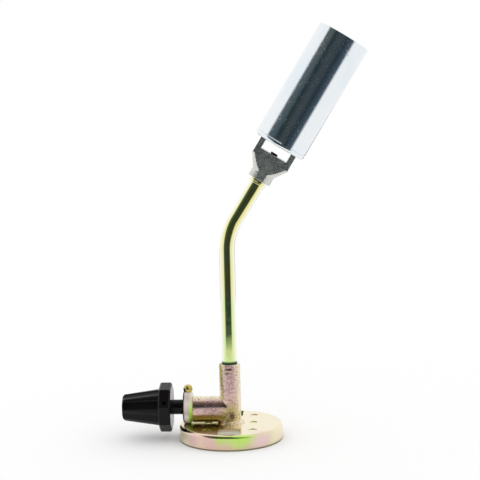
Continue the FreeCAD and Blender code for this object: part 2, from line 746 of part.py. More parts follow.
def make_knob_grub_screw(doc):
    """Socket set screw that pins the knob to the spindle."""
    blank = doc.addObject("Part::Cylinder", "GrubBlank")
    bind(blank, "Radius", "grub_diameter / 2")
    bind(blank, "Height", "grub_length")
    socket = doc.addObject("Part::Prism", "GrubSocket")
    socket.Polygon = HEX_SIDES
    bind(socket, "Circumradius", f"grub_hex / 2 / cos({180 / HEX_SIDES})")
    bind(socket, "Height", "grub_hex_depth")
    bind(socket, "Placement.Base.z", "grub_length - grub_hex_depth")
    upright = doc.addObject("Part::Cut", "GrubUpright")
    upright.Base = blank
    upright.Tool = socket
    bind(upright, "Placement.Base.x", f"-({FLANGE_FACE} + flange_width / 2)")
    upright.Placement.Rotation = Rotation(Vector(1, 0, 0), 90)
    bind(upright, "Placement.Base.y", f"-({SPINDLE_RADIUS} + fit_gap)")
    screw = doc.addObject("Part::Compound", "knob_grub_screw")
    screw.Links = [upright]
    turn_with_knob(screw)
    return screw


# Tube


def make_gas_tube(doc):
    """Steel tube: an upright run from the post, one bend and a sloping run into the holder."""
    body = new_body(doc, "gas_tube")
    path = new_sketch(body, "Path", "XZ_Plane")
    run = "bend_radius * tan(bend_angle / 2)"
    reach = "(incline_length + neck_socket)"
    places = [
        ("0", SOCKET_FLOOR),
        ("0", f"{BEND_HEIGHT} - {run}"),
        (f"{run} * sin(bend_angle)", f"{BEND_HEIGHT} + {run} * cos(bend_angle)"),
        (f"{reach} * sin(bend_angle)", f"{BEND_HEIGHT} + {reach} * cos(bend_angle)")]
    foot, start, finish, top = [Vector(read(doc, x), read(doc, y), 0) for x, y in places]
    bend = read(doc, "bend_radius")
    circle = Part.Circle(start + Vector(bend, 0, 0), Vector(0, 0, 1), bend)
    path.addGeometry(Part.LineSegment(foot, start))
    path.addGeometry(Part.ArcOfCircle(circle, math.pi - math.radians(read(doc, "bend_angle")), math.pi))
    path.addGeometry(Part.LineSegment(finish, top))
    path.addConstraint(Sketcher.Constraint("Coincident", 0, 2, 1, 2))
    path.addConstraint(Sketcher.Constraint("Coincident", 1, 1, 2, 1))
    fix_point(path, 0, 1, places[0])
    fix_point(path, 0, 2, places[1])
    fix_point(path, 2, 1, places[2])
    fix_point(path, 2, 2, places[3])
    held = path.addConstraint(Sketcher.Constraint("Radius", 1, read(doc, "bend_radius")))
    bind(path, f"Constraints[{held}]", "bend_radius")
    section = new_sketch(body, "Section", "XY_Plane", SOCKET_FLOOR)
    draw_circle(section, ("0", "0"), "tube_diameter / 2")
    draw_circle(section, ("0", "0"), "tube_diameter / 2 - tube_wall")
    doc.recompute()
    pipe = body.newObject("PartDesign::AdditivePipe", "gas_tube_Pipe")
    pipe.Profile = section
    pipe.Spine = (path, ["Edge1", "Edge2", "Edge3"])
    doc.recompute()
    return body


def make_tube_ferrule(doc):
    """Ring on the tube, just under the holder's neck."""
    body = new_body(doc, "tube_ferrule")
    outer = "(tube_diameter / 2 + ferrule_wall)"
    revolve(body, "Turned", [
        (TUBE_SOCKET, "-ferrule_length"), (f"{outer} - ferrule_edge", "-ferrule_length"),
        (outer, "ferrule_edge - ferrule_length"), (outer, "-ferrule_edge"),
        (f"{outer} - ferrule_edge", "0"), (TUBE_SOCKET, "0")])
    put_on_incline(body)
    return body


# Burner holder and jet


def make_burner_holder(doc):
    """Casting: neck and cone cut flat at the front and back, floor and two arms round the air window."""
    body = new_body(doc, "burner_holder")
    neck = "neck_diameter / 2"
    revolve(body, "Stem", [
        ("0", "0"), (neck, "0"), (neck, "neck_length"), (CONE_RADIUS, FLOOR_FOOT), ("0", FLOOR_FOOT)])
    flats = new_sketch(body, "FlatOutlines", "YZ_Plane")
    near = "head_depth / 2"
    for side in ("", "-"):
        draw_outline(flats, [
            (f"{side}({near})", "-neck_length"), (f"{side}({near} + {CONE_RADIUS})", "-neck_length"),
            (f"{side}({near} + {CONE_RADIUS})", FLOOR_FOOT), (f"{side}({near})", FLOOR_FOOT)])
    cut(body, "Flats", flats, f"4 * {CONE_RADIUS}", symmetric=True)
    round_ring(body, "NeckBlend", neck, "neck_length", "neck_blend")
    block = new_sketch(body, "HeadOutline", "XY_Plane", FLOOR_FOOT)
    draw_outline(block, rectangle(f"2 * {HEAD_HALF}", "-head_depth / 2", "head_depth / 2"))
    extrude(body, "Pad", "Head", block, "floor_height + air_window_height")
    opening = new_sketch(body, "AirWindowOutline", "XZ_Plane")
    draw_outline(opening, rectangle(f"2 * ({HEAD_HALF} - arm_width)", FLOOR_TOP, HOLDER_TOP))
    cut(body, "AirWindow", opening, "2 * head_depth", symmetric=True)
    bore(body, "TubeSocket", TUBE_SOCKET, "0", "neck_socket")
    bore(body, "GasBore", "gas_bore / 2", "0", JET_FOOT)
    bore(body, "JetBore", "jet_diameter / 2 + fit_gap", JET_FOOT, f"{FLOOR_TOP} - {JET_FOOT}")
    holes = new_sketch(body, "ScrewCircles", "XY_Plane", HOLDER_TOP)
    for side in ("", "-"):
        draw_circle(holes, (f"{side}{SCREW_OFFSET}", "0"), "barrel_screw_diameter / 2 + fit_gap")
    cut(body, "ScrewBores", holes, "air_window_height")
    put_on_incline(body)
    return body


def make_jet_filter(doc):
    top = f"{JET_FOOT} + jet_filter_length"
    disc = turned_ring(doc, "jet_filter", "0", "jet_diameter / 2", JET_FOOT, top)
    put_on_incline(disc)
    return disc


def make_jet_nozzle(doc):
    """Jet: a wide bore from below that ends in a fine orifice, with a tip above the holder's floor."""
    body = new_body(doc, "jet_nozzle")
    foot = f"({JET_FOOT} + jet_filter_length)"
    tip = f"({FLOOR_TOP} + jet_tip_height)"
    ceiling = f"({tip} - jet_orifice_length)"
    fine = "jet_orifice / 2"
    revolve(body, "Turned", [
        ("jet_bore / 2", foot), ("jet_diameter / 2", foot), ("jet_diameter / 2", FLOOR_TOP),
        ("jet_tip_diameter / 2", FLOOR_TOP), ("jet_tip_diameter / 2", tip), (fine, tip),
        (fine, ceiling), ("jet_bore / 2", ceiling)])
    put_on_incline(body)
    return body


# Barrel and what is inside it


def screw_bores(body, name, foot, radius):
    """Two holes for the barrel's screws, through a sheet that starts at a height."""
    sketch = new_sketch(body, f"{name}Circles", "XY_Plane", foot)
    for side in ("", "-"):
        draw_circle(sketch, (f"{side}{SCREW_OFFSET}", "0"), radius)
    return sketch


def make_barrel(doc):
    """Drawn cup with a rounded lower corner and a rolled joint line above it, open at the flame end."""
    body = new_body(doc, "barrel")
    outer = "barrel_diameter / 2"
    revolve(body, "Shell", [
        (MIXER_INNER, "0"), (outer, "0"), (outer, "barrel_joint_height - barrel_joint_depth"),
        ("barrel_diameter / 2 - barrel_joint_depth", "barrel_joint_height"),
        (outer, "barrel_joint_height + barrel_joint_depth"), (outer, "barrel_length"),
        (BARREL_INNER, "barrel_length"), (BARREL_INNER, "barrel_wall"),
        (MIXER_INNER, "barrel_wall")])
    round_ring(body, "OuterCorner", outer, "0", "barrel_corner")
    round_ring(body, "InnerCorner", BARREL_INNER, "barrel_wall", "barrel_corner - barrel_wall")
    holes = screw_bores(body, "Screw", "0", "barrel_screw_diameter / 2 + fit_gap")
    cut(body, "ScrewBores", holes, "barrel_corner", flipped=True)
    put_on_incline(body, HOLDER_TOP)
    return body


def make_mixer_tube(doc):
    """Flanged mixing tube that narrows to a throat and widens again towards the flame holder."""
    body = new_body(doc, "mixer_tube")
    flange = f"({BARREL_INNER} - (barrel_corner - barrel_wall) - corner_gap)"
    throat = "barrel_wall + mixer_throat_station"
    revolve(body, "Turned", [
        (MIXER_INNER, "barrel_wall"), (flange, "barrel_wall"), (flange, FLANGE_TOP),
        (MIXER_OUTER, FLANGE_TOP), (MIXER_OUTER, MIXER_TOP), (MIXER_INNER, MIXER_TOP),
        (f"{MIXER_INNER} - mixer_throat_step", throat)])
    holes = screw_bores(body, "Screw", "barrel_wall", "barrel_screw_diameter / 2 + fit_gap")
    cut(body, "ScrewBores", holes, "mixer_flange", flipped=True)
    put_on_incline(body, HOLDER_TOP)
    return body


def make_flame_holder(doc):
    """Drilled disc with a collar that slips over the mixer tube."""
    body = new_body(doc, "flame_holder")
    rim = f"({BARREL_INNER} - flame_gap)"
    collar_inner = f"({MIXER_OUTER} + fit_gap)"
    collar_outer = f"({collar_inner} + flame_collar_wall)"
    skirt = f"({MIXER_TOP} - flame_collar)"
    top = f"({MIXER_TOP} + flame_disc)"
    revolve(body, "Turned", [
        ("0", MIXER_TOP), (collar_inner, MIXER_TOP), (collar_inner, skirt), (collar_outer, skirt),
        (collar_outer, MIXER_TOP), (rim, MIXER_TOP), (rim, top), ("0", top)])
    bore(body, "CentrePort", "flame_centre_port / 2", MIXER_TOP, "flame_disc")
    port = ("flame_port_circle / 2", "0")
    flame = bore(body, "FlamePort", "flame_port / 2", MIXER_TOP, "flame_disc", port)
    repeat(body, "FlamePorts", [flame], FLAME_PORTS, "Z_Axis")
    air = bore(body, "AirPort", "air_port / 2", MIXER_TOP, "flame_disc", ("air_port_circle / 2", "0"))
    repeat(body, "AirPorts", [air], AIR_PORTS, "Z_Axis")
    put_on_incline(body, HOLDER_TOP)
    return body


def make_barrel_screws(doc):
    """Two screws that hold mixer flange and barrel on the holder's arms."""
    head = doc.addObject("Part::Cylinder", "ScrewHead")
    bind(head, "Radius", "barrel_screw_head / 2")
    bind(head, "Height", "barrel_screw_head_height")
    bind(head, "Placement.Base.z", FLANGE_TOP)
    shank = doc.addObject("Part::Cylinder", "ScrewShank")
    bind(shank, "Radius", "barrel_screw_diameter / 2")
    bind(shank, "Height", "barrel_screw_length")
    bind(shank, "Placement.Base.z", f"{FLANGE_TOP} - barrel_screw_length")
    screw = doc.addObject("Part::Fuse", "Screw")
    screw.Base = head
    screw.Tool = shank
    bind(screw, "Placement.Base.x", SCREW_OFFSET)
    twin = doc.addObject("Part::Mirroring", "ScrewTwin")
    twin.Source = screw
    twin.Normal = Vector(1, 0, 0)
    pair = doc.addObject("Part::Compound", "barrel_screws")
    pair.Links = [screw, twin]
    put_on_incline(pair, HOLDER_TOP)
    return pair


MAKERS = (
    make_base_cap, make_lock_plate, make_nut_washer, make_clamp_nut, make_inlet_guide, make_inlet_seal,
    make_inlet_filter, make_valve_body, make_gland_nut, make_stop_screw, make_spindle, make_stem_o_ring,
    make_knob, make_knob_grub_screw, make_gas_tube, make_tube_ferrule, make_burner_holder, make_jet_filter,
    make_jet_nozzle, make_barrel, make_mixer_tube, make_flame_holder, make_barrel_screws,
)


def check(doc, parts):
    """Stop if an object of the document failed, or if a part's shape is missing or broken."""
    failed = [item.Name for item in doc.Objects if {"Invalid", "Error"} & set(item.State)]
    if failed:
        raise RuntimeError(f"failed objects: {failed}")
    for part in parts:
        if part.Shape.isNull() or not part.Shape.isValid() or not part.Shape.Solids:
            raise RuntimeError(f"{part.Label} has no valid shape")


def main():
    doc = new_document()
    parts = [make(doc) for make in MAKERS]
    doc.removeObject("Gauge")
    doc.recompute()
    check(doc, parts)
    os.makedirs("parts", exist_ok=True)
    for part in parts:
        part.Shape.exportStep(f"parts/{part.Label}.step")
        print(f"{part.Label}: {part.Shape.Volume:.1f} mm3, {len(part.Shape.Solids)} solid")


main()
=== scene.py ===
"""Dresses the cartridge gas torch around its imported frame: pieces, finishes, studio and camera."""

import logging
import math
from collections.abc import Sequence
from dataclasses import dataclass, field
from enum import Enum

import bmesh
import bpy
from mathutils import Matrix, Vector


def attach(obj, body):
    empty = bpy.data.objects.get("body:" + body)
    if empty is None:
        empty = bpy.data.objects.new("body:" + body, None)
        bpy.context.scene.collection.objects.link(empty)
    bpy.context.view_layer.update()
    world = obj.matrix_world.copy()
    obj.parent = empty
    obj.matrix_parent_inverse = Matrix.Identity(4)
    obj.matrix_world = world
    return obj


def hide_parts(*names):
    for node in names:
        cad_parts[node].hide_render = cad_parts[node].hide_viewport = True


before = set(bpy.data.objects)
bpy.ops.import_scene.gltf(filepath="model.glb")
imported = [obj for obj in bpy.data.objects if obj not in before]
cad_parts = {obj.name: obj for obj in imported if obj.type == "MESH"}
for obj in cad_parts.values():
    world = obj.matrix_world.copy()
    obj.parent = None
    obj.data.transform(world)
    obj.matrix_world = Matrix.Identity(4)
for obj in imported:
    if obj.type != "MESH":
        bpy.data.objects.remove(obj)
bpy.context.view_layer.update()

TORCH_BODY = "torch"
MM = 0.001
MERGE_GAP = 1e-7
DEGREES = math.degrees(1.0)
QUARTER_TURN = 90.0
HALF_TURN = 180.0

log = logging.getLogger("gas_torch")

Colour = tuple[float, float, float, float]
Triple = tuple[float, float, float]
Span = tuple[float, float]
Outline = list[tuple[float, float]]
Socket = bpy.types.NodeSocket
Fed = Socket | float | Sequence[float]


class Slot(Enum):
    """Finishes: the record's eight material slots, then variants that single pieces show."""

    YELLOW_ZINC = "yellow_zinc"
    BRIGHT_ZINC = "bright_zinc"
    BRASS = "brass"
    SINTERED_BRONZE = "sintered_bronze"
    GREY_CASTING = "grey_casting"
    BRIGHT_PLATE = "bright_plate"
    BLACK_PLASTIC = "black_plastic"
    RUBBER = "rubber"
    CAST_ZINC = "cast_yellow_zinc"
    TUBE_ZINC = "drawn_yellow_zinc"
    GILT_ZINC = "gilt_zinc"
    DULL_ZINC = "dull_zinc"
    # Painted shade: brass coloured near black for the jet, which sits in shade inside the holder.
    PAINTED_SHADE_BRASS = "painted_shade_brass"
    # Painted shade: steel coloured near black for the grub screw, which sits in shade in its hole.
    PAINTED_SHADE_STEEL = "painted_shade_steel"


def about(middle: float, half: float) -> Span:
    """Give the span that reaches the same distance to either side of a middle value."""
    return middle - half, middle + half


def shift(x: float, y: float, z: float) -> Matrix:
    """Give the matrix of a shift in millimetres."""
    return Matrix.Translation((x * MM, y * MM, z * MM))


def turn(degrees: float, axis: str) -> Matrix:
    """Give the matrix of a turn about an axis."""
    return Matrix.Rotation(math.radians(degrees), 4, axis)


class NodeSheet:
    """The nodes and links of one material, world or node group."""

    MIX_FIRST, MIX_SECOND, MIX_RESULT = 6, 7, 2

    def __init__(self, tree: bpy.types.NodeTree) -> None:
        """Keep the tree that nodes are added to."""
        self.tree = tree

    def add(self, kind: str, **values: object) -> bpy.types.Node:
        """Add a node.

        Args:
            kind: The node's type name.
            values: Properties to set on it.

        Returns:
            The new node.
        """
        node = self.tree.nodes.new(kind)
        for key, value in values.items():
            setattr(node, key, value)
        return node

    def feed(self, target: Socket, value: Fed) -> None:
        """Link a socket to another, or set its plain value.

        Args:
            target: The input that is fed.
            value: An output socket, a number, a vector or a colour.
        """
        if isinstance(value, Socket):
            self.tree.links.new(value, target)
        else:
            target.default_value = value

    def noise(self, vector: Fed, scale: Fed, detail: float, roughness: float = 0.5) -> Socket:
        """Add a noise texture.

        Args:
            vector: Where it is read.
            scale: Waves per metre.
            detail: Octaves.
            roughness: Strength of the finer octaves.

        Returns:
            Its value.
        """
        node = self.add("ShaderNodeTexNoise")
        self.feed(node.inputs["Vector"], vector)
        self.feed(node.inputs["Scale"], scale)
        node.inputs["Detail"].default_value = detail
        node.inputs["Roughness"].default_value = roughness
        return node.outputs["Fac"]

    def spread(self, value: Fed, span: tuple[Fed, Fed], onto: Span = (0.0, 1.0)) -> Socket:
        """Map a range of a value smoothly onto another.

        Args:
            value: The value to map.
            span: Start and end of the range that is read.
            onto: What the start and the end become.

        Returns:
            The mapped value.
        """
        node = self.add("ShaderNodeMapRange", interpolation_type="SMOOTHSTEP")
        self.feed(node.inputs["Value"], value)
        for name, number in zip(("From Min", "From Max", "To Min", "To Max"), (*span, *onto)):
            self.feed(node.inputs[name], number)
        return node.outputs["Result"]

    def calc(self, operation: str, first: Fed, second: Fed = 0.0) -> Socket:
        """Add a Math node.

        Args:
            operation: The node's operation.
            first: Its first value.
            second: Its second value.

        Returns:
            The result.
        """
        node = self.add("ShaderNodeMath", operation=operation)
        self.feed(node.inputs[0], first)
        self.feed(node.inputs[1], second)
        return node.outputs[0]

    def vector(self, operation: str, first: Fed, second: Fed = (0.0, 0.0, 0.0)) -> bpy.types.Node:
        """Add a Vector Math node.

        Args:
            operation: The node's operation.
            first: Its first vector.
            second: Its second vector.

        Returns:
            The node.
        """
        node = self.add("ShaderNodeVectorMath", operation=operation)
        self.feed(node.inputs[0], first)
        self.feed(node.inputs[1], second)
        return node

    def blend(self, share: Fed, first: Fed, second: Fed) -> Socket:
        """Mix two colours.

        Args:
            share: How much of the second shows.
            first: The first colour.
            second: The second colour.

        Returns:
            The mixed colour.
        """
        node = self.add("ShaderNodeMix", data_type="RGBA")
        self.feed(node.inputs["Factor"], share)
        self.feed(node.inputs[self.MIX_FIRST], first)
        self.feed(node.inputs[self.MIX_SECOND], second)
        return node.outputs[self.MIX_RESULT]

    def ramp(self, value: Fed, stops: Sequence[tuple[float, Colour]]) -> Socket:
        """Turn a value into a colour.

        Args:
            value: The value, from 0 to 1.
            stops: Places from 0 to 1 with their colours, in order.

        Returns:
            The colour.
        """
        node = self.add("ShaderNodeValToRGB")
        self.feed(node.inputs["Fac"], value)
        marks = node.color_ramp.elements
        while len(marks) < len(stops):
            marks.new(1.0)
        for mark, (place, colour) in zip(marks, stops):
            mark.position = place
            mark.color = colour
        return node.outputs["Color"]

    def stretch(self, vector: Fed, scale: Triple, turn: Triple) -> Socket:
        """Turn and stretch coordinates with a Mapping node.

        Args:
            vector: The coordinates.
            scale: Factor on each axis.
            turn: Angle about each axis.

        Returns:
            The mapped coordinates.
        """
        node = self.add("ShaderNodeMapping", vector_type="TEXTURE")
        self.feed(node.inputs["Vector"], vector)
        node.inputs["Scale"].default_value = scale
        node.inputs["Rotation"].default_value = turn
        return node.outputs["Vector"]


class SurfaceGroups:
    """Node groups shared by the finishes, each built once."""

    GRAIN_SPAN: Span = (0.25, 0.75)
    MOTTLE_SPAN: Span = (0.3, 0.7)
    MOTTLE_SCALE = 0.12
    STEEP_RUBS = ((1.0, 1.0, 18.0), (0.5, 0.25, 0.0), (0.60, 0.72))
    FLAT_RUBS = ((16.0, 1.0, 1.0), (0.0, 0.4, 0.6), (0.62, 0.74))
    BROAD_SHARE = 0.86
    SMALL_SHARE = 0.14
    SMALL_SCALE = 7.0
    FIRST_FRINGE: Span = (0.33, 0.52)
    SECOND_FRINGE: Span = (0.48, 0.68)

    def __init__(self) -> None:
        """Build every group."""
        self.grain = self._grain()
        self.rubs = self._rubs()
        self.film = self._film()
        self.tint_and_shade = self._tint_and_shade()

    @staticmethod
    def _start(name: str, inputs: dict[str, str],
               outputs: dict[str, str]) -> tuple[NodeSheet, bpy.types.Node, bpy.types.Node]:
        """Start a group with named sockets.

        Args:
            name: The group's name.
            inputs: The kind of each input by its name.
            outputs: The kind of each output by its name.

        Returns:
            The group's sheet, its input node and its output node.
        """
        tree = bpy.data.node_groups.new(name, "ShaderNodeTree")
        for way, sockets in (("INPUT", inputs), ("OUTPUT", outputs)):
            for title, kind in sockets.items():
                tree.interface.new_socket(title, in_out=way, socket_type=f"NodeSocket{kind}")
        sheet = NodeSheet(tree)
        return sheet, sheet.add("NodeGroupInput"), sheet.add("NodeGroupOutput")

    def _grain(self) -> bpy.types.NodeTree:
        """Build the fine grain of a cast, moulded or sintered surface.

        Returns:
            A group that gives a height and a slow mottle.
        """
        sheet, start, end = self._start("surface_grain", {"Vector": "Vector", "Scale": "Float"},
                                        {"Height": "Float", "Mottle": "Float"})
        where, scale = start.outputs["Vector"], start.outputs["Scale"]
        fine = sheet.noise(where, scale, detail=3.0, roughness=0.6)
        slow = sheet.noise(where, sheet.calc("MULTIPLY", scale, self.MOTTLE_SCALE), detail=4.0)
        sheet.feed(end.inputs["Height"], sheet.spread(fine, self.GRAIN_SPAN))
        sheet.feed(end.inputs["Mottle"], sheet.spread(slow, self.MOTTLE_SPAN))
        return sheet.tree

    def _rubs(self) -> bpy.types.NodeTree:
        """Build fine rub marks that lie in two crossing directions.

        Returns:
            A group that gives the marks as a mask.
        """
        sheet, start, end = self._start("rub_marks", {"Vector": "Vector", "Scale": "Float"},
                                        {"Marks": "Float"})
        layers = []
        for stretch, turn, span in (self.STEEP_RUBS, self.FLAT_RUBS):
            drawn = sheet.stretch(start.outputs["Vector"], stretch, turn)
            streaks = sheet.noise(drawn, start.outputs["Scale"], detail=2.0)
            layers.append(sheet.spread(streaks, span))
        sheet.feed(end.inputs["Marks"], sheet.calc("MAXIMUM", *layers))
        return sheet.tree

    def _film(self) -> bpy.types.NodeTree:
        """Build the drifting colours of a passivated or tarnished metal film.

        Returns:
            A group that gives the film's colour.
        """
        sheet, start, end = self._start(
            "film_colours", {"Vector": "Vector", "Scale": "Float", "Base": "Color",
                             "Second": "Color", "Third": "Color"}, {"Colour": "Color"})
        where, scale = start.outputs["Vector"], start.outputs["Scale"]
        broad = sheet.noise(where, scale, detail=2.0, roughness=0.35)
        small = sheet.noise(where, sheet.calc("MULTIPLY", scale, self.SMALL_SCALE),
                            detail=3.0, roughness=0.6)
        depth = sheet.calc("ADD", sheet.calc("MULTIPLY", broad, self.BROAD_SHARE),
                           sheet.calc("MULTIPLY", small, self.SMALL_SHARE))
        fringe = sheet.blend(sheet.spread(depth, self.FIRST_FRINGE),
                             start.outputs["Base"], start.outputs["Third"])
        sheet.feed(end.inputs["Colour"], sheet.blend(
            sheet.spread(depth, self.SECOND_FRINGE), fringe, start.outputs["Second"]))
        return sheet.tree

    def _tint_and_shade(self) -> bpy.types.NodeTree:
        """Build a patch laid over the film, used for real tints and for painted shade, shadows and
        reflections.

        Returns:
            A group that gives the film's colour with the patch laid over it.
        """
        sheet, start, end = self._start(
            "film_tint_and_painted_shade", {"Vector": "Vector", "Centre": "Vector", "Reach": "Vector",
                           "Core": "Float", "Film": "Color", "Stain": "Color"},
            {"Colour": "Color"})
        apart = sheet.vector("SUBTRACT", start.outputs["Vector"], start.outputs["Centre"])
        shares = sheet.vector("DIVIDE", apart.outputs["Vector"], start.outputs["Reach"])
        away = sheet.vector("LENGTH", shares.outputs["Vector"]).outputs["Value"]
        cover = sheet.spread(away, (start.outputs["Core"], 1.0), (1.0, 0.0))
        sheet.feed(end.inputs["Colour"], sheet.blend(
            cover, start.outputs["Film"], start.outputs["Stain"]))
        return sheet.tree

    @staticmethod
    def place(sheet: NodeSheet, group: bpy.types.NodeTree, **values: Fed) -> bpy.types.Node:
        """Place a group in a material.

        Args:
            sheet: The material's sheet.
            group: The group.
            values: Its inputs by name.

        Returns:
            The group's node.
        """
        node = sheet.add("ShaderNodeGroup", node_tree=group)
        for name, value in values.items():
            sheet.feed(node.inputs[name], value)
        return node


@dataclass(frozen=True)
class Stain:
    """A patch laid over the film's colour, used for real tints of the film and for painted shade,
    shadows and reflections: its colour, its centre and its reach in millimetres.

    Inside the core, a share of the reach, the patch covers the film fully.
    """

    colour: Colour
    centre: Triple
    reach: Triple
    core: float = 0.35

    def lay(self, sheet: NodeSheet, groups: SurfaceGroups, where: Socket, film: Socket) -> Socket:
        """Lay the patch over a film.

        Args:
            sheet: The material's sheet.
            groups: The shared node groups.
            where: Object coordinates.
            film: The film's colour.

        Returns:
            The colour with the patch laid over it.
        """
        node = groups.place(sheet, groups.tint_and_shade, Vector=where, Centre=Vector(self.centre) * MM,
                            Reach=Vector(self.reach) * MM, Core=self.core, Film=film,
                            Stain=self.colour)
        return node.outputs["Colour"]


@dataclass(frozen=True)
class Finish:
    """A surface finish: film colours, gloss, grain, rub marks and eased edges.

    Scales are in waves per metre, heights and the radius of eased edges in millimetres.
    """

    base: Colour
    second: Colour
    third: Colour
    metallic: float
    smooth: float
    rough: float
    film_scale: float = 60.0
    film_shift: Triple = (0.0, 0.0, 0.0)
    grain_scale: float = 2000.0
    grain_height: float = 0.02
    rub_scale: float = 3000.0
    rub_height: float = 0.01
    specular: float = 0.5
    worn: float = 0.06
    # Painted sheen: a pale colour painted over the film where the surface is seen at a slant, in
    # place of a brighter reflection.
    painted_sheen: Colour | None = None
    painted_sheen_span: Span = (0.02, 0.55)
    pitted: float = 0.0
    pit: Colour = (0.07, 0.055, 0.035, 1)
    pit_span: Span = (0.10, 0.50)
    ease: float = 0.0
    ease_samples: int = 6
    tints_and_shades: tuple[Stain, ...] = ()

    def colour(self, sheet: NodeSheet, groups: SurfaceGroups, where: Socket,
               grain: Socket) -> Socket:
        """Lay the film's colours, the painted sheen, the tint and painted shade patches and the pits
        over each other.

        Args:
            sheet: The material's sheet.
            groups: The shared node groups.
            where: Object coordinates.
            grain: The grain's height.

        Returns:
            The colour.
        """
        drift = sheet.vector("ADD", where, self.film_shift).outputs["Vector"]
        film = groups.place(sheet, groups.film, Vector=drift, Scale=self.film_scale,
                            Base=self.base, Second=self.second, Third=self.third)
        colour = film.outputs["Colour"]
        # Painted sheen: the pale colour is blended in by how slanting the view is.
        if self.painted_sheen:
            slant = sheet.add("ShaderNodeLayerWeight").outputs["Facing"]
            colour = sheet.blend(sheet.spread(slant, self.painted_sheen_span), colour, self.painted_sheen)
        # Patches: some are real tints of the film, the others are painted shade, shadows and
        # reflections.
        for tint_and_shade in self.tints_and_shades:
            colour = tint_and_shade.lay(sheet, groups, where, colour)
        if self.pitted:
            hollows = sheet.spread(grain, self.pit_span, (self.pitted, 0.0))
            colour = sheet.blend(hollows, colour, self.pit)
        return colour

    def normal(self, sheet: NodeSheet, grain: Socket, marks: Socket) -> Socket:
        """Raise the grain, sink the rub marks and ease the sharp edges.

        Args:
            sheet: The material's sheet.
            grain: The grain's height.
            marks: The rub marks.

        Returns:
            The normal.
        """
        bump = sheet.add("ShaderNodeBump")
        bump.inputs["Strength"].default_value = 1.0
        bump.inputs["Distance"].default_value = MM
        sheet.feed(bump.inputs["Height"], sheet.calc(
            "SUBTRACT", sheet.calc("MULTIPLY", grain, self.grain_height),
            sheet.calc("MULTIPLY", marks, self.rub_height)))
        if self.ease:
            eased = sheet.add("ShaderNodeBevel", samples=self.ease_samples)
            eased.inputs["Radius"].default_value = self.ease * MM
            sheet.feed(bump.inputs["Normal"], eased.outputs["Normal"])
        return bump.outputs["Normal"]

    def material(self, name: str, groups: SurfaceGroups) -> bpy.types.Material:
        """Build the finish as a material.

        Args:
            name: The material's name.
            groups: The shared node groups.

        Returns:
            The material.
        """
        material = bpy.data.materials.new(name)
        material.use_nodes = True
        sheet = NodeSheet(material.node_tree)
        shader = material.node_tree.nodes["Principled BSDF"]
        where = sheet.add("ShaderNodeTexCoord").outputs["Object"]
        grain = groups.place(sheet, groups.grain, Vector=where, Scale=self.grain_scale)
        rubs = groups.place(sheet, groups.rubs, Vector=where, Scale=self.rub_scale)
        height, marks = grain.outputs["Height"], rubs.outputs["Marks"]
        gloss = sheet.spread(grain.outputs["Mottle"], (0.0, 1.0), (self.smooth, self.rough))
        sheet.feed(shader.inputs["Base Color"], self.colour(sheet, groups, where, height))
        sheet.feed(shader.inputs["Roughness"], sheet.calc(
            "ADD", gloss, sheet.calc("MULTIPLY", marks, self.worn)))
        sheet.feed(shader.inputs["Normal"], self.normal(sheet, height, marks))
        shader.inputs["Metallic"].default_value = self.metallic
        shader.inputs["Specular IOR Level"].default_value = self.specular
        return material


CAP_TINTS_AND_PAINTED_SHADE = (
    # Painted reflection: the cap's top is dark olive under and in front of the valve, where it
    # mirrors the valve's dark underside.
    Stain((0.39, 0.36, 0.08, 1), (-12.0, -1.0, 9.0), (16.0, 22.0, 4.0), core=0.6),
    Stain((0.82, 0.60, 0.60, 1), (17.0, -21.0, 4.0), (10.0, 9.0, 7.0), core=0.1),
    Stain((0.82, 0.56, 0.53, 1), (-18.0, -20.0, 4.0), (7.0, 9.0, 7.0), core=0.1),
    # Painted contact shadow: the cap's lowest rim is darker olive where it stands on the table.
    Stain((0.17, 0.17, 0.06, 1), (0.0, 0.0, 0.0), (60.0, 60.0, 1.2), core=0.5))
VALVE_TINTS_AND_PAINTED_SHADE = (
    # Painted shade: the valve body is browner low down, under the chamber and beside the cap.
    Stain((0.62, 0.39, 0.20, 1), (-13.0, 0.0, 8.6), (15.0, 14.0, 7.0), core=0.1),
    # Partly the film's olive tint, partly a painted dark reflection of the chamber: a strip down the
    # post's left side.
    Stain((0.36, 0.31, 0.02, 1), (-6.0, 0.0, 37.0), (3.0, 30.0, 16.0)),
    # Painted shade: a dark mark on the post's front near its top, for a groove that the casting
    # lacks.
    Stain((0.10, 0.08, 0.06, 1), (-0.3, -5.3, 37.2), (3.4, 2.4, 0.9), core=0.2),
    # Painted reflection: a dark purple spot low on the post's front.
    Stain((0.17, 0.08, 0.10, 1), (0.9, -5.3, 12.8), (2.4, 4.0, 3.4), core=0.1))
TUBE_PAINTED_SHADE = (
    # Painted shadow: the tube is dark green where it enters the post's socket.
    Stain((0.03, 0.07, 0.03, 1), (0.0, 0.0, 39.8), (9.0, 9.0, 1.8), core=0.5),)
GLAND_TINTS_AND_PAINTED_SHADE = (
    Stain((0.54, 0.85, 0.15, 1), (-20.0, 0.0, 12.0), (2.3, 40.0, 12.5)),
    # Painted shade: the gland nut's left end is near black where it meets the knob.
    Stain((0.03, 0.025, 0.02, 1), (-24.9, 0.0, 16.6), (1.5, 40.0, 40.0), core=0.5))

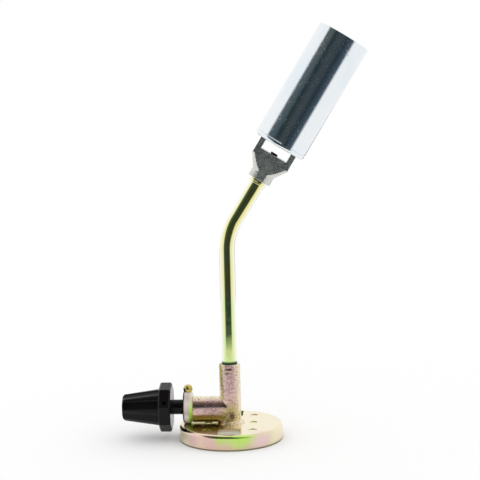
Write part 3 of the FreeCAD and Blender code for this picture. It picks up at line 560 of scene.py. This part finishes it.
FINISHES: dict[Slot, Finish] = {
    Slot.YELLOW_ZINC: Finish(
        (0.82, 0.71, 0.34, 1), (0.50, 0.82, 0.13, 1), (0.76, 0.47, 0.48, 1),
        metallic=1.0, smooth=0.12, rough=0.22,
        film_scale=36.0, film_shift=(0.094, 0.141, 0.069), grain_scale=2600.0, grain_height=0.004,
        rub_scale=2600.0, rub_height=0.003, painted_sheen=(0.90, 0.81, 0.58, 1), ease=0.3,
        tints_and_shades=CAP_TINTS_AND_PAINTED_SHADE),
    Slot.CAST_ZINC: Finish(
        (0.48, 0.42, 0.09, 1), (0.66, 0.46, 0.44, 1), (0.73, 0.50, 0.44, 1),
        metallic=1.0, smooth=0.16, rough=0.28,
        film_scale=50.0, film_shift=(0.217, 0.329, 0.161), grain_scale=1400.0, grain_height=0.028,
        rub_scale=2600.0, rub_height=0.004, painted_sheen=(0.90, 0.80, 0.58, 1), pitted=0.6, ease=0.4,
        tints_and_shades=VALVE_TINTS_AND_PAINTED_SHADE),
    Slot.TUBE_ZINC: Finish(
        (0.84, 0.77, 0.24, 1), (0.62, 0.82, 0.30, 1), (0.82, 0.80, 0.36, 1),
        metallic=1.0, smooth=0.05, rough=0.11,
        film_scale=55.0, film_shift=(0.093, 0.141, 0.069), grain_height=0.0012,
        rub_scale=2600.0, rub_height=0.002, painted_sheen=(0.96, 0.97, 0.84, 1), tints_and_shades=TUBE_PAINTED_SHADE),
    Slot.GILT_ZINC: Finish(
        (0.62, 0.50, 0.13, 1), (0.50, 0.47, 0.10, 1), (0.72, 0.56, 0.20, 1),
        metallic=1.0, smooth=0.24, rough=0.34, film_scale=240.0, grain_height=0.003),
    Slot.DULL_ZINC: Finish(
        (0.84, 0.77, 0.69, 1), (0.80, 0.76, 0.62, 1), (0.84, 0.73, 0.70, 1),
        metallic=0.55, smooth=0.34, rough=0.46, film_scale=160.0, grain_height=0.004,
        tints_and_shades=GLAND_TINTS_AND_PAINTED_SHADE),
    Slot.BRIGHT_ZINC: Finish(
        (0.80, 0.80, 0.76, 1), (0.72, 0.75, 0.72, 1), (0.83, 0.79, 0.71, 1),
        metallic=0.45, smooth=0.34, rough=0.50, grain_height=0.008),
    Slot.BRASS: Finish(
        (0.85, 0.82, 0.52, 1), (0.70, 0.82, 0.40, 1), (0.85, 0.77, 0.60, 1),
        metallic=1.0, smooth=0.12, rough=0.24, film_scale=110.0, grain_height=0.004),
    # Painted shade: the jet's brass is near black to show the shade it sits in.
    Slot.PAINTED_SHADE_BRASS: Finish(
        (0.035, 0.030, 0.025, 1), (0.020, 0.018, 0.016, 1), (0.055, 0.042, 0.030, 1),
        metallic=1.0, smooth=0.36, rough=0.56, film_scale=240.0, grain_height=0.012),
    Slot.SINTERED_BRONZE: Finish(
        (0.42, 0.27, 0.13, 1), (0.36, 0.24, 0.13, 1), (0.48, 0.33, 0.19, 1),
        metallic=1.0, smooth=0.5, rough=0.7, grain_scale=5200.0, grain_height=0.06),
    Slot.GREY_CASTING: Finish(
        (0.60, 0.61, 0.56, 1), (0.46, 0.47, 0.43, 1), (0.74, 0.75, 0.69, 1),
        metallic=0.95, smooth=0.18, rough=0.32,
        film_scale=1700.0, grain_scale=2400.0, grain_height=0.05, ease=0.3),
    Slot.BRIGHT_PLATE: Finish(
        (0.83, 0.88, 0.92, 1), (0.79, 0.86, 0.91, 1), (0.86, 0.89, 0.91, 1),
        metallic=1.0, smooth=0.05, rough=0.11,
        film_scale=30.0, grain_scale=1500.0, grain_height=0.0006,
        rub_scale=1200.0, rub_height=0.0008, worn=0.22),
    # Painted shade: the grub screw's steel is near black to show the shade in its hole.
    Slot.PAINTED_SHADE_STEEL: Finish(
        (0.020, 0.020, 0.022, 1), (0.014, 0.014, 0.016, 1), (0.030, 0.028, 0.027, 1),
        metallic=1.0, smooth=0.28, rough=0.44, film_scale=300.0, grain_height=0.006),
    Slot.BLACK_PLASTIC: Finish(
        (0.0026, 0.0028, 0.0034, 1), (0.0032, 0.0033, 0.0038, 1), (0.0042, 0.0041, 0.0042, 1),
        metallic=0.0, smooth=0.10, rough=0.20, grain_scale=3800.0, grain_height=0.004,
        rub_scale=1800.0, rub_height=0.002, specular=0.17, ease=0.6),
    Slot.RUBBER: Finish(
        (0.012, 0.012, 0.012, 1), (0.016, 0.016, 0.016, 1), (0.020, 0.020, 0.019, 1),
        metallic=0.0, smooth=0.55, rough=0.75, grain_height=0.015),
}


def close(shape: bmesh.types.BMesh) -> None:
    """Merge a shape's doubled vertices and turn its faces outwards."""
    bmesh.ops.remove_doubles(shape, verts=shape.verts[:], dist=MERGE_GAP)
    bmesh.ops.recalc_face_normals(shape, faces=shape.faces[:])


def pick(geometry: list, kind: type) -> list:
    """Pick the items of one kind, such as vertices, out of an operator's result."""
    return [item for item in geometry if isinstance(item, kind)]


@dataclass
class Turned:
    """A turned shape: an outline of radius and height in millimetres, spun about its axis.

    rounds gives corners of the outline, counted from 0, a radius. A run longer than long_run
    holds gets a loop one hold from each end, so that its shading stays straight beside them.
    """

    outline: Outline
    rounds: dict[int, float] = field(default_factory=dict)
    steps: int = 96
    arc_steps: int = 6
    hollow: bool = True
    hold: float = 0.3
    long_run: int = 8

    def spin(self) -> bmesh.types.BMesh:
        """Round the outline's named corners, hold its long runs and spin it.

        Returns:
            The closed shape, round the upright axis.
        """
        shape = bmesh.new()
        corners = [shape.verts.new((radius * MM, 0.0, height * MM))
                   for radius, height in self.outline]
        for near, far in zip(corners, corners[1:] + corners[:1] * self.hollow):
            shape.edges.new((near, far))
        for index, radius in self.rounds.items():
            bmesh.ops.bevel(shape, geom=[corners[index]], offset=radius * MM, offset_type="OFFSET",
                            segments=self.arc_steps, profile=0.5, affect="VERTICES", material=-1)
        hold = self.hold * MM
        for run in [edge for edge in shape.edges if edge.calc_length() > self.long_run * hold]:
            for end in run.verts[:]:
                bmesh.utils.edge_split(run, end, hold / run.calc_length())
        bmesh.ops.spin(shape, geom=shape.verts[:] + shape.edges[:], cent=(0, 0, 0), axis=(0, 0, 1),
                       dvec=(0, 0, 0), angle=math.tau, steps=self.steps, use_merge=True,
                       use_duplicate=False)
        close(shape)
        return shape


class Workshop:
    """Makes objects of shapes and dresses them and the CAD nodes in their finishes."""

    def __init__(self) -> None:
        """Build every finish as a material."""
        groups = SurfaceGroups()
        self.materials = {slot: finish.material(slot.value, groups)
                          for slot, finish in FINISHES.items()}

    def dress(self, slot: Slot, *nodes: str) -> None:
        """Give CAD nodes a finish.

        Args:
            slot: The finish's slot.
            nodes: Names of the nodes.
        """
        for node in nodes:
            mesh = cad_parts[node].data
            mesh.materials.clear()
            mesh.materials.append(self.materials[slot])
            log.info("dressed %s in %s", node, slot.value)

    def mount(self, shape: bmesh.types.BMesh, name: str, slot: Slot, place: Matrix,
              stands_for: str, crease: float = 32.0, look: Slot | None = None) -> None:
        """Make a shape an object in its place on the torch, which stands for a CAD node.

        Args:
            shape: The shape, which is used up.
            name: The object's name.
            slot: Its slot in the record.
            place: Where its own axis goes.
            stands_for: The CAD node that it replaces.
            crease: Angle in degrees past which an edge stays sharp.
            look: The finish that it shows, where that is a variant of the slot's.
        """
        bmesh.ops.transform(shape, matrix=place, verts=shape.verts[:])
        mesh = bpy.data.meshes.new(name)
        shape.to_mesh(mesh)
        shape.free()
        mesh.shade_smooth()
        mesh.set_sharp_from_angle(angle=math.radians(crease))
        mesh.materials.append(self.materials[look or slot])
        piece = bpy.data.objects.new(name, mesh)
        bpy.context.scene.collection.objects.link(piece)
        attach(piece, TORCH_BODY)
        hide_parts(stands_for)
        log.info("built %s for %s", name, stands_for)


@dataclass
class CapAssembly:
    """The stamped cap, its lock plate and the parts of the cartridge inlet."""

    def build(self, shop: Workshop) -> None:
        """Dress the cap and what it carries.

        Args:
            shop: The workshop that dresses them.
        """
        shop.dress(Slot.YELLOW_ZINC, "base_cap")
        shop.dress(Slot.BRIGHT_ZINC, "lock_plate", "nut_washer", "clamp_nut")
        shop.dress(Slot.BRASS, "inlet_guide")
        shop.dress(Slot.RUBBER, "inlet_seal")
        shop.dress(Slot.SINTERED_BRONZE, "inlet_filter")


@dataclass
class ValveAssembly:
    """The valve body with its knurled gland nut and stop screw, in millimetres."""

    axis_height: float = 16.6
    shank_end: float = 13.7
    shank_radius: float = 4.5
    bore_radius: float = 3.1
    chamber_face: float = 19.7
    collar_face: float = 24.5
    collar_radius: float = 8.4
    bevel: float = 1.3
    edge: float = 0.4
    knurls: int = 72
    knurl_depth: float = 0.16
    knurl_crease: float = 20.0
    rim_tolerance: float = 0.01
    stop_station: float = 22.1
    stop_tip: float = 2.45
    stop_radius: float = 1.2
    stop_steps: int = 48
    head_foot: float = 2.3
    head_radius: float = 2.6
    head_waist: float = 9.62
    head_crown: float = 1.7
    head_top: float = 11.66
    foot_round: float = 0.25
    waist_round: float = 0.9
    crown_round: float = 0.6
    slot_half: float = 0.3
    slot_depth: float = 0.45

    def gland(self) -> bmesh.types.BMesh:
        """Turn the gland nut and press its knurl.

        Returns:
            The nut round the upright axis.
        """
        rim = (self.chamber_face + self.bevel, self.collar_face - self.edge)
        shape = Turned([
            (self.bore_radius, self.shank_end), (self.shank_radius, self.shank_end),
            (self.shank_radius, self.chamber_face),
            (self.collar_radius - self.bevel, self.chamber_face),
            (self.collar_radius, rim[0]), (self.collar_radius, rim[1]),
            (self.collar_radius - self.edge, self.collar_face),
            (self.bore_radius, self.collar_face),
        ], steps=2 * self.knurls).spin()
        pitch = math.tau / (2 * self.knurls)
        rim_radius = (self.collar_radius - self.rim_tolerance) * MM
        hollows = [vert for vert in shape.verts
                   if math.hypot(vert.co.x, vert.co.y) > rim_radius
                   and round(math.atan2(vert.co.y, vert.co.x) / pitch) % 2]
        shrink = 1.0 - self.knurl_depth / self.collar_radius
        bmesh.ops.scale(shape, vec=(shrink, shrink, 1.0), verts=hollows)
        return shape

    def stop_screw(self) -> bmesh.types.BMesh:
        """Turn the round-headed stop screw and sink its slot.

        Returns:
            The screw, upright on the valve's axis.
        """
        shape = Turned([
            (0.0, self.stop_tip), (self.stop_radius, self.stop_tip),
            (self.stop_radius, self.collar_radius), (self.head_foot, self.collar_radius),
            (self.head_radius, self.head_waist), (self.head_crown, self.head_top),
            (0.0, self.head_top),
        ], rounds={3: self.foot_round, 4: self.waist_round, 5: self.crown_round},
            steps=self.stop_steps, hollow=False).spin()
        half = self.slot_half * MM
        for side in (-half, half):
            bmesh.ops.bisect_plane(shape, geom=shape.verts[:] + shape.edges[:] + shape.faces[:],
                                   dist=MERGE_GAP, plane_co=(side, 0, 0), plane_no=(1, 0, 0))
        floor = (self.head_top - self.slot_depth) * MM
        strip = [face for face in shape.faces if abs(face.calc_center_median().x) < half
                 and min(vert.co.z for vert in face.verts) > floor]
        sunk = bmesh.ops.extrude_face_region(shape, geom=strip)["geom"]
        bmesh.ops.translate(shape, vec=(0, 0, -self.slot_depth * MM),
                            verts=pick(sunk, bmesh.types.BMVert))
        close(shape)
        return shape

    def build(self, shop: Workshop) -> None:
        """Build the gland nut and the stop screw, and dress the valve.

        Args:
            shop: The workshop that mounts and dresses them.
        """
        lie = shift(0, 0, self.axis_height) @ turn(-QUARTER_TURN, "Y")
        stand = shift(-self.stop_station, 0, self.axis_height) @ turn(QUARTER_TURN, "Z")
        shop.mount(self.gland(), "gland_nut_knurled", Slot.BRASS, lie, "gland_nut",
                   crease=self.knurl_crease, look=Slot.DULL_ZINC)
        shop.mount(self.stop_screw(), "stop_screw_slotted", Slot.BRASS, stand, "stop_screw",
                   look=Slot.GILT_ZINC)
        shop.dress(Slot.CAST_ZINC, "valve_body")
        shop.dress(Slot.BRASS, "spindle")
        shop.dress(Slot.RUBBER, "stem_o_ring")


@dataclass
class KnobAssembly:
    """The moulded knob with its grub screw."""

    def build(self, shop: Workshop) -> None:
        """Dress the knob and its screw in the workshop's finishes."""
        shop.dress(Slot.BLACK_PLASTIC, "knob")
        # The grub screw is dressed near black as painted shade.
        shop.dress(Slot.PAINTED_SHADE_STEEL, "knob_grub_screw")


@dataclass
class Incline:
    """The slanted line that the holder and the barrel stand on, from the holder's neck."""

    angle: float = 31.9
    neck: Triple = (17.306, 0.0, 135.004)

    def at(self, run: float) -> Matrix:
        """Give the place on the incline at a run in millimetres from the holder's neck."""
        return shift(*self.neck) @ turn(self.angle, "Y") @ shift(0, 0, run)


@dataclass
class TubeAssembly:
    """The bent gas tube and the ferrule under the holder, in millimetres."""

    radius: float = 4.0
    wall: float = 1.0
    foot: float = 26.0
    vertex: float = 107.2
    bend_radius: float = 28.0
    run_out: float = 38.75
    sides: int = 64
    bend_steps: int = 28
    ferrule_radius: float = 4.8
    ferrule_length: float = 2.25
    ferrule_play: float = 0.02
    ferrule_steps: int = 72
    ferrule_arc_steps: int = 4
    lower_round: float = 0.3
    upper_round: float = 0.2
    groove_depth: float = 0.3
    groove_shares: tuple[float, float, float, float] = (0.62, 0.54, 0.46, 0.38)
    incline: Incline = field(default_factory=Incline)

    def tube(self) -> bmesh.types.BMesh:
        """Draw a circle up the straight run, round the bend and along the incline.

        Returns:
            The tube in its place, with its wall inside the drawn skin.
        """
        angle = math.radians(self.incline.angle)
        tangent = self.bend_radius * math.tan(angle / 2)
        start = self.vertex - tangent
        reach = (self.run_out - tangent) * MM
        shape = bmesh.new()
        ring = bmesh.ops.create_circle(shape, cap_ends=False, segments=self.sides,
                                       radius=self.radius * MM, matrix=shift(0, 0, self.foot))
        edges = list({edge for vert in ring["verts"] for edge in vert.link_edges})
        raised = bmesh.ops.extrude_edge_only(shape, edges=edges)["geom"]
        rise = pick(raised, bmesh.types.BMVert)
        bmesh.ops.translate(shape, vec=(0, 0, (start - self.foot) * MM), verts=rise)
        bent = bmesh.ops.spin(shape, geom=rise + pick(raised, bmesh.types.BMEdge),
                              cent=(self.bend_radius * MM, 0, start * MM), axis=(0, 1, 0),
                              dvec=(0, 0, 0), angle=angle, steps=self.bend_steps,
                              use_duplicate=False)["geom_last"]
        drawn = bmesh.ops.extrude_edge_only(shape, edges=pick(bent, bmesh.types.BMEdge))["geom"]
        bmesh.ops.translate(shape, vec=(math.sin(angle) * reach, 0, math.cos(angle) * reach),
                            verts=pick(drawn, bmesh.types.BMVert))
        close(shape)
        bmesh.ops.solidify(shape, geom=shape.faces[:], thickness=self.wall * MM)
        return shape

    def ferrule(self) -> bmesh.types.BMesh:
        """Turn the ferrule with a groove between two beads.

        Returns:
            The ferrule, hanging below the neck.
        """
        inner = self.radius + self.ferrule_play
        outer, length = self.ferrule_radius, self.ferrule_length
        waist = outer - self.groove_depth
        lower, low_foot, high_foot, upper = (-share * length for share in self.groove_shares)
        return Turned([
            (inner, -length), (outer, -length), (outer, lower), (waist, low_foot),
            (waist, high_foot), (outer, upper), (outer, 0.0), (inner, 0.0),
        ], rounds={1: self.lower_round, 6: self.upper_round}, steps=self.ferrule_steps,
            arc_steps=self.ferrule_arc_steps).spin()

    def build(self, shop: Workshop) -> None:
        """Build the tube and its ferrule.

        Args:
            shop: The workshop that mounts them.
        """
        shop.mount(self.tube(), "gas_tube_drawn", Slot.YELLOW_ZINC, Matrix(), "gas_tube",
                   look=Slot.TUBE_ZINC)
        shop.mount(self.ferrule(), "ferrule_ring", Slot.YELLOW_ZINC, self.incline.at(0.0),
                   "tube_ferrule", look=Slot.TUBE_ZINC)


@dataclass
class HolderAssembly:
    """The cast burner holder with its jet."""

    def build(self, shop: Workshop) -> None:
        """Dress the holder and the jet.

        Args:
            shop: The workshop that dresses them.
        """
        shop.dress(Slot.GREY_CASTING, "burner_holder")
        shop.dress(Slot.SINTERED_BRONZE, "jet_filter")
        # The jet is dressed near black as painted shade.
        shop.dress(Slot.PAINTED_SHADE_BRASS, "jet_nozzle")


@dataclass
class BarrelAssembly:
    """The drawn flame barrel and the burner inside it, in millimetres."""

    radius: float = 14.0
    length: float = 64.3
    wall: float = 0.9
    corner: float = 1.4
    joint: float = 2.3
    joint_depth: float = 0.3
    hole: float = 5.0
    lip: float = 0.28
    seat: float = 19.85
    steps: int = 128
    arc_steps: int = 8
    incline: Incline = field(default_factory=Incline)

    def shell(self) -> bmesh.types.BMesh:
        """Turn the barrel with its rounded foot, joint line and lip.

        Returns:
            The barrel, standing on the upright axis.
        """
        inner = self.radius - self.wall
        return Turned([
            (self.hole, 0.0), (self.radius, 0.0), (self.radius, self.joint - self.joint_depth),
            (self.radius - self.joint_depth, self.joint),
            (self.radius, self.joint + self.joint_depth),
            (self.radius, self.length), (inner, self.length), (inner, self.wall),
            (self.hole, self.wall),
        ], rounds={1: self.corner, 5: self.lip, 6: self.lip, 7: self.corner - self.wall},
            steps=self.steps, arc_steps=self.arc_steps).spin()

    def build(self, shop: Workshop) -> None:
        """Build the barrel and dress its burner.

        Args:
            shop: The workshop that mounts and dresses them.
        """
        shop.mount(self.shell(), "flame_barrel", Slot.BRIGHT_PLATE, self.incline.at(self.seat),
                   "barrel")
        shop.dress(Slot.BRASS, "mixer_tube", "flame_holder")
        shop.dress(Slot.BRIGHT_ZINC, "barrel_screws")


@dataclass
class Studio:
    """The white table, the light round it and the camera.

    The camera's place is in millimetres, the table is in metres and angles are in degrees.
    Only metal sees the unlit room: the front opening, which leans with height, its warmer
    ceiling, and a dark patch on the floor far behind.
    """

    eye: Triple = (34.906, -620.806, 171.165)
    yaw: float = 2.584
    pitch: float = -6.159
    roll: float = -1.279
    focal_pixels: float = 1211.83
    frame_pixels: float = 480.0
    sensor: float = 36.0
    near_clip: float = 0.01
    white: Colour = (1, 1, 1, 1)
    paper: Colour = (0.97, 0.97, 0.97, 1)
    paper_lift: float = 0.03
    floor_side: float = 20.0
    table_reach: float = 0.26
    table_fade: float = 0.05
    front_bearing: float = 1.0
    front_half: float = 47.5
    front_blur: float = 6.0
    front_lean: float = 0.7
    front_top: float = 72.0
    top_blur: float = 7.0
    ceiling: Colour = (0.17, 0.125, 0.095, 1)
    ceiling_rise: Span = (18.0, 52.0)
    bounces: Span = (1.0, 2.0)
    second_bounce: float = 0.45
    back_half: float = 24.0
    back_blur: float = 6.0
    back_near: Span = (0.42, 0.50)
    back_far: Span = (0.85, 1.00)
    room: tuple[tuple[float, Colour], ...] = (
        (0.00, (0.080, 0.125, 0.145, 1)), (0.24, (0.060, 0.095, 0.110, 1)),
        (0.33, (0.018, 0.030, 0.034, 1)), (0.45, (0.048, 0.066, 0.074, 1)),
        (0.53, (0.046, 0.060, 0.068, 1)), (0.68, (0.023, 0.036, 0.048, 1)),
        (0.82, (0.045, 0.068, 0.090, 1)), (1.00, (0.075, 0.105, 0.130, 1)))

    def bearing(self, sheet: NodeSheet, direction: Socket) -> tuple[Socket, Socket]:
        """Measure which way a direction points.

        Args:
            sheet: The sheet that the nodes go in.
            direction: The direction.

        Returns:
            Degrees round from the middle of the unlit room, and the upward share.
        """
        split = sheet.add("ShaderNodeSeparateXYZ")
        sheet.feed(split.inputs[0], direction)
        east, north, rise = split.outputs
        front = sheet.calc("ARCTAN2", east, sheet.calc("MULTIPLY", north, -1.0))
        turned = sheet.calc("SUBTRACT", sheet.calc("MULTIPLY", front, DEGREES), self.front_bearing)
        return turned, rise

    def opening(self, sheet: NodeSheet, turned: Socket) -> Socket:
        """Mark the opening to the unlit room, by degrees round from the room's middle."""
        edges = about(self.front_half, self.front_blur)
        return sheet.spread(sheet.calc("ABSOLUTE", turned), edges, (1.0, 0.0))

    def room_colour(self, sheet: NodeSheet, turned: Socket) -> Socket:
        """Give the colours of the unlit room as they change round the front.

        Args:
            sheet: The sheet that the nodes go in.
            turned: Degrees round from the middle of the room.

        Returns:
            The colour.
        """
        share = sheet.calc("DIVIDE", sheet.calc("ADD", turned, self.front_half),
                           2 * self.front_half)
        return sheet.ramp(share, self.room)

    def unlit_floor(self, sheet: NodeSheet, where: Socket, turned: Socket) -> Socket:
        """Say where the floor belongs to the unlit room: beyond the table, and far behind it.

        Args:
            sheet: The sheet that the nodes go in.
            where: Object coordinates of the floor.
            turned: Degrees round from the middle of the room.

        Returns:
            1 where the floor is unlit and 0 on the table.
        """
        reach = sheet.vector("LENGTH", where).outputs["Value"]
        beyond = sheet.spread(reach, about(self.table_reach, self.table_fade))
        front = sheet.calc("MULTIPLY", beyond, self.opening(sheet, turned))
        behind = sheet.calc("MULTIPLY", sheet.spread(reach, self.back_near),
                            sheet.spread(reach, self.back_far, (1.0, 0.0)))
        back_edge = HALF_TURN - self.back_half
        back = sheet.calc("MULTIPLY", behind, sheet.spread(
            sheet.calc("ABSOLUTE", turned), (back_edge - self.back_blur, back_edge)))
        return sheet.calc("MAXIMUM", front, back)

    def table_finish(self) -> bpy.types.Material:
        """Build the floor's white paper, which metal sees end where the unlit room begins.

        Returns:
            The material.
        """
        material = bpy.data.materials.new("white_table")
        material.use_nodes = True
        nodes = material.node_tree.nodes
        nodes.remove(nodes["Principled BSDF"])
        sheet = NodeSheet(material.node_tree)
        where = sheet.add("ShaderNodeTexCoord").outputs["Object"]
        turned, _ = self.bearing(sheet, where)
        rays = sheet.add("ShaderNodeLightPath").outputs
        unlit = sheet.calc("MULTIPLY", rays["Is Glossy Ray"],
                           self.unlit_floor(sheet, where, turned))
        paper = sheet.add("ShaderNodeBsdfDiffuse")
        paper.inputs["Color"].default_value = self.paper
        room = sheet.add("ShaderNodeEmission")
        sheet.feed(room.inputs["Color"], self.room_colour(sheet, turned))
        seen = sheet.add("ShaderNodeMixShader")
        for target, source in zip(seen.inputs, (unlit, paper.outputs[0], room.outputs[0])):
            sheet.feed(target, source)
        lift = sheet.add("ShaderNodeEmission")
        sheet.feed(lift.inputs["Strength"],
                   sheet.calc("MULTIPLY", rays["Is Camera Ray"], self.paper_lift))
        whole = sheet.add("ShaderNodeAddShader")
        for target, source in zip(whole.inputs, (seen.outputs[0], lift.outputs[0])):
            sheet.feed(target, source)
        sheet.feed(nodes["Material Output"].inputs["Surface"], whole.outputs[0])
        return material

    def table(self) -> None:
        """Lay the white table and the floor round it as one sheet."""
        shape = bmesh.new()
        bmesh.ops.create_grid(shape, x_segments=1, y_segments=1, size=self.floor_side / 2)
        mesh = bpy.data.meshes.new("table")
        shape.to_mesh(mesh)
        shape.free()
        mesh.materials.append(self.table_finish())
        floor = bpy.data.objects.new("table", mesh)
        bpy.context.scene.collection.objects.link(floor)

    def light(self) -> None:
        """Wrap the scene in white light, with the unlit room in front for metal to show.

        The room is paler for light that has met metal before, as dull metal would send it on.
        """
        world = bpy.data.worlds.new("studio")
        world.use_nodes = True
        bpy.context.scene.world = world
        sheet = NodeSheet(world.node_tree)
        ground = world.node_tree.nodes["Background"]
        direction = sheet.add("ShaderNodeTexCoord").outputs["Generated"]
        turned, rise = self.bearing(sheet, direction)
        height = sheet.calc("MULTIPLY", sheet.calc("ARCSINE", rise), DEGREES)
        turned = sheet.calc("ADD", turned, sheet.calc("MULTIPLY", height, self.front_lean))
        below_top = sheet.spread(height, about(self.front_top, self.top_blur), (1.0, 0.0))
        front = sheet.calc("MULTIPLY", self.opening(sheet, turned), below_top)
        rays = sheet.add("ShaderNodeLightPath").outputs
        depth = sheet.spread(rays["Glossy Depth"], self.bounces, (1.0, self.second_bounce))
        unlit = sheet.calc("MULTIPLY", front, sheet.calc("MULTIPLY", rays["Is Glossy Ray"], depth))
        room = sheet.blend(sheet.spread(height, self.ceiling_rise),
                           self.room_colour(sheet, turned), self.ceiling)
        sheet.feed(ground.inputs["Color"], sheet.blend(unlit, self.white, room))
        ground.inputs["Strength"].default_value = 1.0

    def camera(self) -> None:
        """Stand the camera where the photograph was taken from."""
        data = bpy.data.cameras.new("camera")
        data.sensor_width = self.sensor
        data.lens = self.focal_pixels / self.frame_pixels * self.sensor
        data.clip_start = self.near_clip
        eye = bpy.data.objects.new("camera", data)
        eye.matrix_world = (shift(*self.eye) @ turn(self.yaw, "Z")
                            @ turn(QUARTER_TURN + self.pitch, "X") @ turn(self.roll, "Z"))
        bpy.context.scene.collection.objects.link(eye)
        bpy.context.scene.camera = eye

    def build(self) -> None:
        """Set up the table, the light, the camera and the view."""
        self.table()
        self.light()
        self.camera()
        bpy.context.scene.view_settings.view_transform = "Standard"


def main() -> None:
    """Build every assembly and the studio."""
    logging.basicConfig(level=logging.INFO)
    shop = Workshop()
    for assembly in (CapAssembly(), ValveAssembly(), KnobAssembly(), TubeAssembly(),
                     HolderAssembly(), BarrelAssembly()):
        assembly.build(shop)
    Studio().build()


if __name__ == "__main__":
    main()
